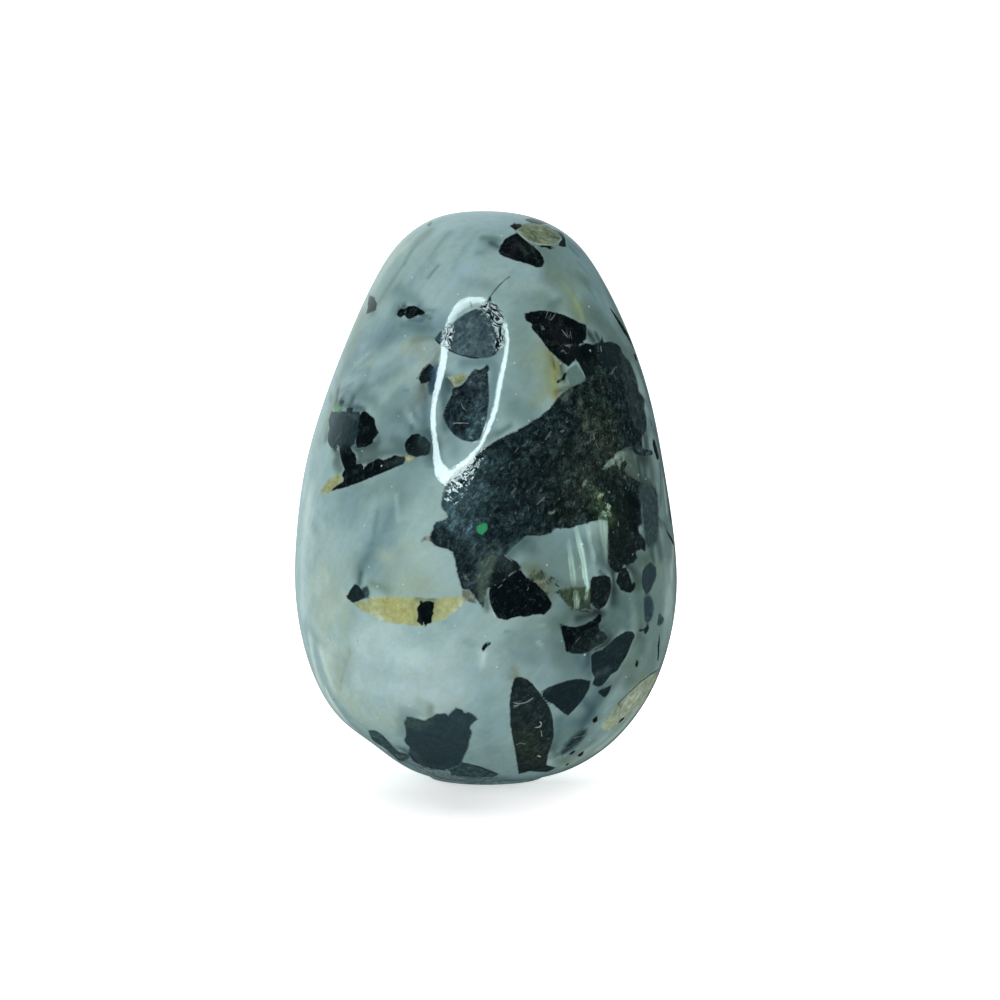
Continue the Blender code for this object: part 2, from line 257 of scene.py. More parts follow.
# Crystals of the front: name, kind, and the outline in pixels of the front view.
CRYSTALS = {
    "crown_lens": ("olive", (
        (517.5, 230), (521, 226), (526, 223.5), (533, 223), (541, 224), (549, 226), (553, 230), (558, 233.5),
        (561, 238), (559, 242), (554, 244.5), (546, 244.5), (538, 243.5), (532, 243), (526, 239),
        (521, 235))),
    "bar_ochre": ("ochre", (
        (320.5, 493), (320, 490), (325, 485), (329, 480), (335, 475.5), (341, 475.5), (344, 479), (340, 484),
        (334, 488), (331, 492.5), (326, 493.5))),
    "blob_ochre": ("ochre", ((405, 457), (414, 456), (413, 461), (405, 461.5))),
    "yellow_lens": ("yellow", (
        (352, 603.5), (358, 602), (366, 600), (371, 598), (379, 597), (391, 596.5), (405, 597), (417, 597),
        (434, 598.5), (442, 597.5), (452, 596.5), (460, 596), (464, 600.5), (463, 604), (457, 610),
        (451, 615), (444, 620), (434, 621.5), (430, 624), (425, 626.5), (416, 625.5), (405, 624.5),
        (395, 623.5), (386, 622), (377, 619.5), (368, 613.5), (360, 609.5))),
    "lens_tan": ("tan", (
        (461, 590), (468, 588.5), (473, 594), (478, 603), (474, 604), (469, 602), (464, 600))),
    "ring_ochre": ("ochre", ((447, 376), (457, 375.5), (468, 374), (461, 385), (453.5, 386))),
    "foot_beige": ("beige", (
        (661, 668), (652, 673), (640, 682), (628, 694), (618, 704), (612, 712), (605, 720), (601, 727),
        (604, 731), (612, 731), (622, 722), (633, 712), (646, 697), (656, 682))),
    "crown_black": ("black", (
        (517, 233), (510.5, 235.5), (504, 240), (500, 246), (498.5, 253), (504, 256.5), (513, 260),
        (521, 262.5), (530, 265), (536, 267.5), (542, 267), (545, 262), (543, 256.5), (538, 250), (532, 245),
        (524, 239))),
    "crown_bits": ("black", (
        (509, 226), (512, 224.5), (514.5, 222.5), (516, 224), (523, 224), (521, 227), (517.5, 229),
        (516, 231), (513.5, 228.5))),
    "crown_crescent": ("slate", (
        (550, 228.5), (556.5, 230.5), (562, 233), (565, 238), (566, 247), (562, 247), (557, 245),
        (562, 239.5), (559.5, 234.5), (554.5, 231))),
    "crown_drop": ("black", (
        (532, 244), (540, 245.5), (553, 246), (554.5, 248), (551, 249.5), (546, 248), (539, 246.5))),
    "crown_streak": ("black", (
        (524, 219.5), (532, 218.4), (541, 220), (549, 224), (541, 224.6), (532, 223.4))),
    "edge_sliver": ("black", (
        (369, 294), (374.5, 297.5), (377, 304), (375.5, 311), (366, 314.5), (367.5, 308), (368, 301))),
    "blob_head": ("black", (
        (396.5, 314), (398, 310), (401, 308), (405.5, 309.5), (405, 315), (400.5, 317), (397.5, 316))),
    "blob_body": ("black", (
        (404.5, 308.5), (409, 305.5), (415, 305.5), (420, 308.5), (424, 311), (426, 315), (419, 315.5),
        (408.5, 319), (405, 316.5), (406, 311))),
    "ring_left_slab": ("dusk", (
        (430.5, 370), (434, 367), (437, 372), (435.5, 384), (433.5, 396), (428.5, 394), (427.5, 385))),
    "ring_left_dark": ("green_black", (
        (430, 363), (424.5, 366.5), (420.5, 372.5), (418.5, 380), (421.5, 384), (427.5, 382.5), (433, 376),
        (434, 367))),
    "ring_upper": ("woven", (
        (435, 338), (437, 335), (441, 331), (446, 326.5), (451, 323), (456, 320), (460, 317), (466, 313),
        (471, 310.5), (477, 308.5), (481, 306.5), (485, 304), (490, 302.5), (496, 305), (500, 310),
        (502.5, 315), (503.5, 322), (503, 330), (503.5, 340), (500.5, 346), (497, 351), (492.5, 356.5),
        (487, 358), (480, 358.5), (471, 358), (461, 355.5), (455, 352), (450, 350.5), (445, 347.5),
        (441, 345), (437, 342))),
    "ring_lower": ("basket", (
        (475, 368.5), (479, 370), (483, 368.5), (487, 364), (489, 366), (490, 369), (487.5, 372),
        (488.5, 378), (489, 390), (489, 400), (488, 410), (486.5, 420), (485, 428), (482, 434), (480, 440),
        (472, 442), (465, 441), (458, 438), (453, 434), (449, 429), (446, 424), (442.5, 416), (446.5, 405),
        (449.5, 399), (452, 394), (452.5, 387), (457, 387), (462, 384.5), (465, 381.5), (468.5, 376),
        (472, 372))),
    "fan": ("black", (
        (524, 313.5), (531, 311.5), (540, 310.5), (548, 311), (556, 312.5), (566, 315.5), (574, 319.5),
        (580, 323), (586.5, 325), (586.5, 339), (582, 343), (577, 346.5), (577.5, 357), (574.5, 361.5),
        (568, 366.5), (559, 359.5), (550, 351.5), (542.5, 342), (537, 334), (531, 328.5), (532, 323.5),
        (526, 321.5))),
    "great_patch": ("fibrous", (
        (577, 348), (581, 344.5), (588, 343), (592, 345), (597, 343), (600, 341), (602, 335), (604, 342),
        (612, 342), (617, 344), (621, 348), (622, 353), (627, 358), (631, 365), (634, 372), (637, 382),
        (639, 391), (645, 399), (644, 405), (645, 412), (647, 422), (647, 429), (642, 436), (642.5, 449),
        (652, 450.5), (653, 455), (642, 456.5), (635, 453.5), (629, 447), (624, 448), (621, 452), (622, 462),
        (625, 459), (628, 463), (624, 470), (628, 475), (636, 480), (642, 483.5), (643, 500), (642, 512),
        (643.5, 523), (638, 527), (639, 532), (645, 540), (646.5, 547), (645, 552), (641, 549), (635, 552),
        (638, 558), (633, 563), (629, 563), (628, 566.5), (624, 565), (621, 571), (616, 573.5), (610, 567.5),
        (607.5, 561), (607.5, 521), (600, 520), (586, 523.5), (569, 528.5), (555, 528.5), (554, 532.5),
        (538, 536), (527, 535.5), (520, 541), (514, 546), (507, 554), (500, 560), (494, 566), (489, 575),
        (487, 590), (485, 600), (484, 609), (480, 604.5), (476, 599), (472, 593), (468, 589), (462.5, 589.5),
        (460, 584), (457, 571), (454.5, 560), (453, 552), (446, 549), (440, 548), (434.5, 545),
        (428.5, 539.5), (430, 535.5), (433, 529), (434, 523), (447.5, 518.5), (446, 512), (441, 508),
        (442, 496), (446, 482), (456, 471), (467, 463), (481, 450), (493, 442), (507, 435), (521, 428),
        (538, 418), (550, 408), (556, 399), (561.5, 394), (570, 388), (579.5, 382.5), (586, 377.5),
        (578.5, 363.5), (575.5, 356))),
    "arm_join": ("black", (
        (573, 344), (579, 346), (584, 343.5), (585, 352), (581, 363), (577, 362), (573, 352))),
    "patch_arm": ("black", (
        (577, 348), (581, 344.5), (588, 343), (596, 346), (597, 358), (594, 372), (589, 379), (585, 376.5),
        (578.5, 363.5), (576, 355))),
    "patch_head": ("slate", (
        (599, 343), (606, 342.5), (616, 344), (621, 349), (618, 362), (611, 366), (604, 364), (599, 356))),
    "patch_strip": ("strip", (
        (622, 353), (630, 362), (636, 376), (639, 391), (645, 399), (644.5, 408), (647, 422), (647, 430),
        (640, 434), (634, 425), (629, 410), (626, 395), (622, 378), (617, 364))),
    "patch_foot": ("green_black", (
        (609, 548), (608, 524), (612, 505), (620, 500), (623, 512), (628, 530), (634, 545), (636, 552),
        (633, 563), (624, 565), (618, 573), (610, 567))),
    "patch_column": ("black", (
        (624, 492), (632, 492), (638, 500), (641, 512), (638, 524), (637, 538), (632, 530), (626, 520),
        (622.5, 508))),
    "patch_slate": ("curtain", (
        (639, 484), (650, 482), (656, 487), (658, 495), (659, 510), (659.5, 525), (658, 540), (652, 549),
        (646, 548), (643, 530), (641, 512))),
    "polygon_top": ("green_black", (
        (504, 554.5), (511, 559), (517, 562), (522, 566.5), (513, 573), (508, 577), (500, 583), (488, 589),
        (484, 583), (486, 573), (491, 562), (497, 555))),
    "black_polygon": ("black", (
        (520, 569), (526, 577), (536, 582.5), (543, 589.5), (549.5, 598), (553.3, 606), (548.5, 611),
        (543.5, 615), (534, 614.5), (526, 617), (517, 616.5), (507, 620), (497, 618), (494, 612), (490, 603),
        (488.5, 592), (490, 587), (500, 583), (508, 577), (513, 573))),
    "right_a": ("green_black", (
        (590, 580), (593, 576.5), (600, 575.5), (606.5, 575), (610.5, 578), (611.5, 586), (610, 594),
        (608, 601), (604.5, 606.5), (599, 610), (593, 606.5), (589, 603), (588.5, 598), (590, 590))),
    "right_b": ("green_black", (
        (615.8, 582), (617.5, 574.5), (621, 569), (625.5, 567.5), (628.5, 571.5), (631, 579), (632, 584.5),
        (634, 582), (636, 584), (635, 589), (632, 592.5), (628, 593), (621, 590))),
    "right_c": ("steel", (
        (642, 573), (645, 566), (650.5, 562), (656, 567), (656.8, 574), (655, 581), (652, 587), (649, 593),
        (646, 594), (642.5, 588), (641.5, 581))),
    "right_d": ("dusk", (
        (644, 598), (646.5, 594), (650.5, 595.5), (653, 601), (654, 608), (653, 615), (650, 621.5),
        (647, 624.5), (644.5, 620), (643.5, 609))),
    "right_hook": ("slate", (
        (647.5, 624), (649.5, 627), (647, 633), (644.5, 634.5), (644, 631.5), (638, 632), (639.5, 629),
        (644, 629))),
    "right_e": ("sunk", (
        (658.5, 614.5), (660, 613.5), (663, 617), (664, 620), (662.5, 624), (660, 626), (657, 625))),
    "right_speck": ("ink", ((636.5, 659.5), (638.5, 662.5), (637.2, 668), (634.8, 666.5))),
    "wedge_black": ("black", (
        (558, 620.5), (561.5, 624), (568, 626.5), (577, 627), (586, 623.5), (594, 619), (599, 613),
        (602, 615), (602, 620), (598, 625), (588, 631.5), (580, 637), (574, 643), (570, 652.5), (566, 652),
        (564, 643), (562, 633))),
    "wedge_slate": ("green_black", (
        (598, 625), (600, 630), (605, 633), (608, 638), (603, 643), (595, 647), (589, 652), (580, 654),
        (570, 653.5), (574, 643), (580, 637), (588, 631.5))),
    "leaning_slate": ("slate", (
        (591, 662), (591, 655), (595, 651.5), (601, 650), (608, 645), (614, 638.5), (620, 634.5), (627, 631),
        (632.5, 631.5), (635, 636), (631, 645), (627, 655), (622, 663), (617, 671), (611, 674.5),
        (606.5, 680.5), (602, 686), (597.5, 687), (592, 684), (595, 678), (591.5, 671))),
    "triangle": ("slate", (
        (541.8, 690.8), (547.8, 687.3), (556.5, 684), (569, 680), (581, 678.8), (590.8, 680.3), (589.6, 688),
        (583.4, 698.5), (577, 706.5), (568.2, 716), (562, 711.8), (558, 708.4), (553, 704.6), (547.5, 701.6),
        (542.6, 697.2))),
    "small_triangle": ("slate", (
        (596.5, 692), (602, 689), (606, 687.5), (612, 684.5), (609.5, 692), (605, 698.5))),
    "tall_lens": ("mottled", (
        (515, 677), (521, 677), (527, 679), (533, 684), (539, 692), (544.5, 699.5), (550, 708), (553, 720),
        (554, 735), (551, 746), (548, 755), (546.5, 765), (556, 767.5), (547, 772), (530, 771), (518.5, 774),
        (517, 762), (513.5, 743), (510, 724), (509.5, 701), (511.5, 687))),
    "foot_smoke": ("sunk", (
        (407, 716), (413, 717), (424, 720), (430, 721), (420, 730), (406, 730), (404, 722))),
    # A pale band on the foot's edge: painted light from the floor.
    "foot_painted_floor_light": ("rim", (
        (390, 753), (402, 761.5), (414, 768), (431, 775), (457, 782), (486, 785), (503, 785), (499, 777),
        (470, 770), (448, 767), (426, 763), (408, 756), (398, 748))),
    "foot_blob": ("steel", (
        (404, 740), (406, 734), (405, 728), (408, 722), (414, 722.5), (425, 720), (431, 717), (436, 714),
        (442, 713.5), (446, 713), (448, 715.5), (452, 711), (456, 708), (461, 709), (465.5, 713), (468, 711),
        (473, 714.5), (478, 719), (472, 723.5), (470, 727), (472, 733), (469.5, 742), (467.5, 749),
        (464, 757), (461, 765), (445, 770), (428, 768), (414, 762), (408, 754), (410, 747), (406, 743.5))),
    "foot_sliver": ("shale", (
        (368.5, 730), (376, 730.5), (382, 734), (390, 742.5), (397, 751), (411, 755), (407, 760), (400, 762),
        (392, 754.5), (384, 747.5), (374, 741.5), (370, 736))),
    "foot_lens": ("shale", (
        (449, 770), (457, 766), (461, 762), (470, 763.5), (481, 766.5), (490, 770), (499.5, 774), (494, 777),
        (480, 777.6), (463, 777), (452, 775))),
    "foot_streak": ("curtain", (
        (558, 754.5), (565, 744), (573, 736), (581, 730), (587, 728.5), (586, 735), (580, 743), (572, 750),
        (563, 755))),
    "foot_dot_a": ("slate", ((568.5, 754.5), (572, 751), (575.5, 750), (574, 753), (571, 755))),
    "foot_dot_b": ("slate", ((577, 756), (580, 753), (584, 750.5), (583, 755), (579.5, 757))),
    "foot_dot_c": ("slate", ((565, 765), (567.5, 763), (570, 762), (568, 765), (565.5, 766))),
    "foot_dot_d": ("black", ((592, 721), (594, 717.5), (597.8, 715.8), (597.6, 720.5), (594, 723.6))),
    "tooth": ("black", (
        (362, 411.5), (365.5, 411), (370, 415), (374.5, 419), (375.5, 425), (377, 429.5), (379, 432),
        (377, 436), (374, 438.5), (373, 443), (367.5, 446.5), (357, 448), (355.5, 441), (355.8, 434),
        (356.5, 427), (358, 419))),
    "left_slate": ("blue", (
        (331, 411.5), (345, 411), (353, 411), (360, 411.5), (358, 430), (355, 444), (349, 447), (345, 445),
        (340, 447), (337, 445), (337.5, 450), (336, 452), (333, 449), (330, 446), (327.5, 442), (328, 434),
        (329.5, 428), (328.5, 421))),
    "left_post": ("black", (
        (339, 447.5), (344, 444.5), (350.5, 445.5), (352, 451), (355.5, 454), (356.5, 459), (356.5, 463),
        (356, 467), (347, 471), (343, 466), (341, 459))),
    "left_bar": ("black", (
        (332.5, 491), (333, 488), (338, 484.5), (343, 481.5), (344, 479), (341.5, 475.5), (343, 472),
        (346, 468), (352, 464.5), (357.5, 464), (361.5, 464), (364, 467), (368, 463.5), (374, 460.5),
        (378.5, 457.5), (381.5, 460), (385, 460), (389.5, 457.5), (394.5, 455), (400, 456.5), (404.5, 456.5),
        (405.5, 460), (403.5, 464), (398, 466.5), (391, 469.2), (384, 472.2), (376, 475.8), (366, 479.8),
        (357, 483.4), (345, 487.5))),
    "left_drop": ("black", (
        (346.8, 408.5), (349, 407), (353, 407.5), (353, 413), (349.5, 418), (346.5, 420), (345, 418),
        (346.5, 413))),
    "left_round": ("black", (
        (404.5, 445), (406, 440), (409, 437), (412, 434.5), (416, 433), (419.5, 434.5), (421, 437.5),
        (424.5, 436), (427, 439), (430.5, 443), (430.5, 451), (428, 455.5), (421, 456), (416, 457.5),
        (410, 455), (406, 452))),
    "corner_facet": ("sunk", (
        (361, 590), (363, 587.5), (367.5, 585.5), (369.8, 591), (369, 598.5), (362, 599))),
    "lens_corner": ("slate", (
        (344.5, 597), (348, 594), (350.5, 589), (355, 583.5), (360, 586.5), (362.5, 592), (366, 597),
        (358, 601), (353, 603), (350, 600.5))),
    "lens_bar": ("black", (
        (420, 599.5), (423.5, 602), (429, 600.5), (434.5, 602.5), (434, 608), (432.5, 611), (434.5, 614),
        (431.5, 618), (432, 624), (427.5, 624.5), (425, 627.5), (423, 622), (421, 626.5), (419.5, 622.5),
        (417, 622), (418, 614), (417, 608), (419.5, 605))),
    "squiggle": ("black", (
        (481.5, 650.5), (481.5, 647), (485, 643.5), (488, 643), (489, 640.5), (491, 643.5), (488, 646),
        (485.5, 649), (484, 653))),
    "crack_diamond": ("slate", ((487.5, 300), (489.5, 296), (491.5, 296.5), (491, 301), (489, 303))),
    "crown_fleck": ("sunk", ((427.5, 224.5), (430.5, 222), (432, 221), (431, 224), (429, 227))),
    "moss_wedge": ("moss", (
        (555, 592.5), (559, 589.5), (565, 588), (572, 587), (581, 587), (585, 585), (590, 590), (591, 600),
        (592, 612), (585, 613), (578, 612), (572, 610.5), (568, 606), (564, 600), (559, 595))),
    "moss_a": ("moss", (
        (528, 577), (531, 574), (536, 575), (540, 571.5), (544, 574), (545, 578), (540, 579), (536, 579.5),
        (532, 579))),
    "moss_b": ("moss", ((538, 582), (541, 582.5), (545, 584), (544, 588), (541, 586))),
    "moss_c": ("moss", ((547, 583), (548.5, 579), (552, 578), (552, 582), (550, 584.5))),
    "moss_d": ("moss", ((545, 592), (549, 592), (548, 595))),
    "moss_e": ("moss", ((556.5, 580), (559, 581), (557.5, 583))),
    "stain_dash_a": ("dash", (
        (556, 382), (557, 379.8), (560, 379.2), (564.8, 378.2), (565, 380.6), (561, 381.6), (558, 383.4))),
    "stain_dash_b": ("dash", (
        (562.2, 377.8), (563, 374.8), (564.6, 372.6), (568, 373.6), (567.6, 375.8), (565.8, 376),
        (564.2, 378.2))),
    "clear_triangle": ("clear", (
        (576, 364), (571, 367.5), (566.5, 370.5), (567, 376), (569, 382), (571, 387), (578, 384),
        (586, 380.5), (581.5, 371))),
    "brown_film": ("film", ((561, 396), (566, 391), (573, 390), (571, 395), (563, 400))),
    "tail_film": ("film", (
        (484, 556), (490, 553), (498, 555), (496, 563), (492, 571), (490, 577), (488.5, 585), (488, 592),
        (485, 600), (482, 604), (479, 602), (478, 596), (475.5, 590), (476, 584), (473.5, 577), (478, 573),
        (481, 568), (482, 561))),
    "window_film": ("haze", (
        (623, 457), (627, 452.5), (630.5, 455), (633, 460), (634.5, 468), (632, 473.5), (626.5, 470),
        (629, 463), (624.5, 459))),
    "rust_fleck": ("rust", ((421, 541.5), (425, 537), (431.5, 537), (431, 540), (427, 540))),
    # Painted highlight, as lace, where the ring lamp's reflection breaks up over the crystal.
    "ring_crackle_painted_glint_a": ("frost", (
        (443, 330), (449, 325), (453, 329), (453, 338), (450, 348), (445, 347), (443, 339))),
    "ring_crackle_b": ("crackle", (
        (480, 307), (490, 302.5), (496, 305), (500.5, 310), (503.5, 318), (504, 330), (503.5, 342),
        (499, 349), (495, 354), (491, 353), (492, 342), (491, 332), (488, 324), (482, 317), (477, 311))),
    # Painted highlight, as lace, where the ring lamp's reflection breaks up over the crystal.
    "ring_painted_lace_glint": ("frost", (
        (479, 308), (485, 303), (494, 303), (500, 309), (503.5, 318), (504, 330), (503, 342), (497, 351),
        (494, 346), (497, 336), (494, 326), (491, 317), (484, 312))),
    "lace_gap": ("ink", ((497.5, 325), (501, 327), (502.5, 333), (500.5, 340), (498, 337), (498.8, 331))),
    "leaf_dot": ("ink", (
        (341.5, 399), (344, 400.5), (344.4, 403.4), (342.4, 405.4), (339.8, 404.8), (339, 401.5))),
    "corner_crackle": ("crackle", (
        (446, 491), (453, 481.5), (463, 473), (475, 464), (486, 456), (488, 463), (480, 471), (472, 482),
        (463, 493), (457, 505), (449, 508), (444, 498))),
    # Painted highlight, as lace, where the ring lamp's reflection breaks up over the crystal.
    "corner_painted_lace_glint": ("frost", (
        (447, 491), (454.5, 485), (462, 478.5), (470, 471), (476, 465), (479, 466), (474, 472.5), (466, 480),
        (459, 486.5), (453, 491), (448, 493))),
    "stroke_a": ("ink", (
        (609, 307), (612, 310), (619.5, 321), (627, 332), (632, 339.5), (637.5, 353), (635.5, 353),
        (630, 342), (624, 333), (616, 319))),
    "stroke_b": ("ink", ((633.5, 353.5), (635.5, 354), (637.5, 361), (635.5, 360))),
    "stroke_c": ("ink", (
        (652.6, 438), (655, 441), (657, 449), (659.5, 459), (657, 460), (654, 451), (652.6, 444))),
    "stroke_d": ("ink", (
        (662, 458), (665.5, 475), (668.5, 492), (670.5, 508), (672, 525), (670.2, 520), (668.4, 500),
        (665.2, 480))),
    "stroke_e": ("ink", ((664.5, 527), (669.5, 534), (674.5, 545), (673, 544.5), (668.4, 536))),
    "stroke_f": ("ink", (
        (660, 632), (659.4, 645), (659, 655), (658.6, 662), (657.2, 659), (657.8, 645), (658.8, 636))),
    "green_spot": ("green", (
        (475.5, 526.5), (481, 524.5), (485, 522), (487.5, 524.5), (487.5, 530), (481.5, 535),
        (477.5, 532.5))),
    "left_leaf": ("leaf", (
        (334, 404), (337, 402), (338.5, 407), (343.5, 406.5), (344, 410), (338, 412), (334.5, 410))),
    "pale_sliver": ("blade", (
        (601, 469), (606, 463.5), (614, 456), (622, 449.5), (624, 452), (619, 459), (612, 465),
        (606, 469.5))),
    "pale_lobe": ("chip", ((617, 459), (623.5, 453), (623, 460), (619.6, 469), (617, 464.5), (614, 464))),
    "tail_sliver": ("chip", ((485, 599), (485.5, 594), (487, 592), (488, 596), (488, 601), (486, 603))),
    "tail_chip": ("chip", ((463.5, 576), (465.5, 575), (469, 579), (467, 580.5))),
    "fan_chip_a": ("chip", ((565, 345.5), (568, 344.5), (572, 346), (569, 347.5))),
    "fan_chip_b": ("chip", ((560.5, 350.5), (563, 350), (567.5, 353), (566, 354.5), (562, 353))),
    "fan_chip_c": ("chip", ((540, 328.5), (542, 326.5), (545, 328), (543, 330))),
    "patch_chip_a": ("chip", ((548, 513), (552, 510), (555, 509.5), (554, 513), (549, 515))),
    "patch_chip_b": ("chip", ((610.5, 373), (614, 369), (618, 365), (615, 370), (612, 373.5))),
    "patch_chip_c": ("chip", ((580, 488), (583, 482), (588, 477), (586, 483), (583, 487))),
    "spark_a": ("spark", ((577, 396), (581, 396.5), (583, 400), (580, 404), (577.5, 402))),
    "spark_b": ("spark", ((579.5, 407), (582, 406), (582.5, 412), (578, 415.5), (578.5, 411))),
    "spark_c": ("spark", ((584, 416.5), (587, 414.5), (586, 419.5), (583, 420))),
    "spark_d": ("spark", ((582.5, 424), (587, 421), (591, 424), (589, 428.5), (584, 427.5))),
    "spark_e": ("spark", ((574, 493), (578, 490.5), (582.5, 490), (580, 493), (575.5, 494))),
    "spark_f": ("spark", ((584, 508.5), (588, 504.5), (593, 502), (592, 505.5), (587, 509))),
    "spark_g": ("spark", ((574.5, 516), (577, 514.5), (577, 519), (575, 519))),
    "spark_h": ("spark", ((628.5, 447), (631.5, 444), (632.5, 449), (629, 450.5))),
    # Painted reflections of the window bars, broken up over the great patch.
    "painted_bar_glint_a": ("glaze", (
        (596, 497), (599, 494), (605, 492.5), (610, 491), (606, 494.8), (602, 496.5), (600, 500),
        (597, 499.5))),
    "painted_bar_glint_b": ("glaze", ((605, 504), (608, 502), (611, 506), (610, 509), (606, 508))),
    "painted_bar_glint_c": ("glaze", (
        (600, 513.5), (604, 510), (606, 513), (609, 512), (611, 515), (606, 517.5), (602, 516.5))),
    "beige_fleck": ("ink", ((618, 722.5), (621, 718.5), (625, 717), (623, 720), (619.5, 723))),
}
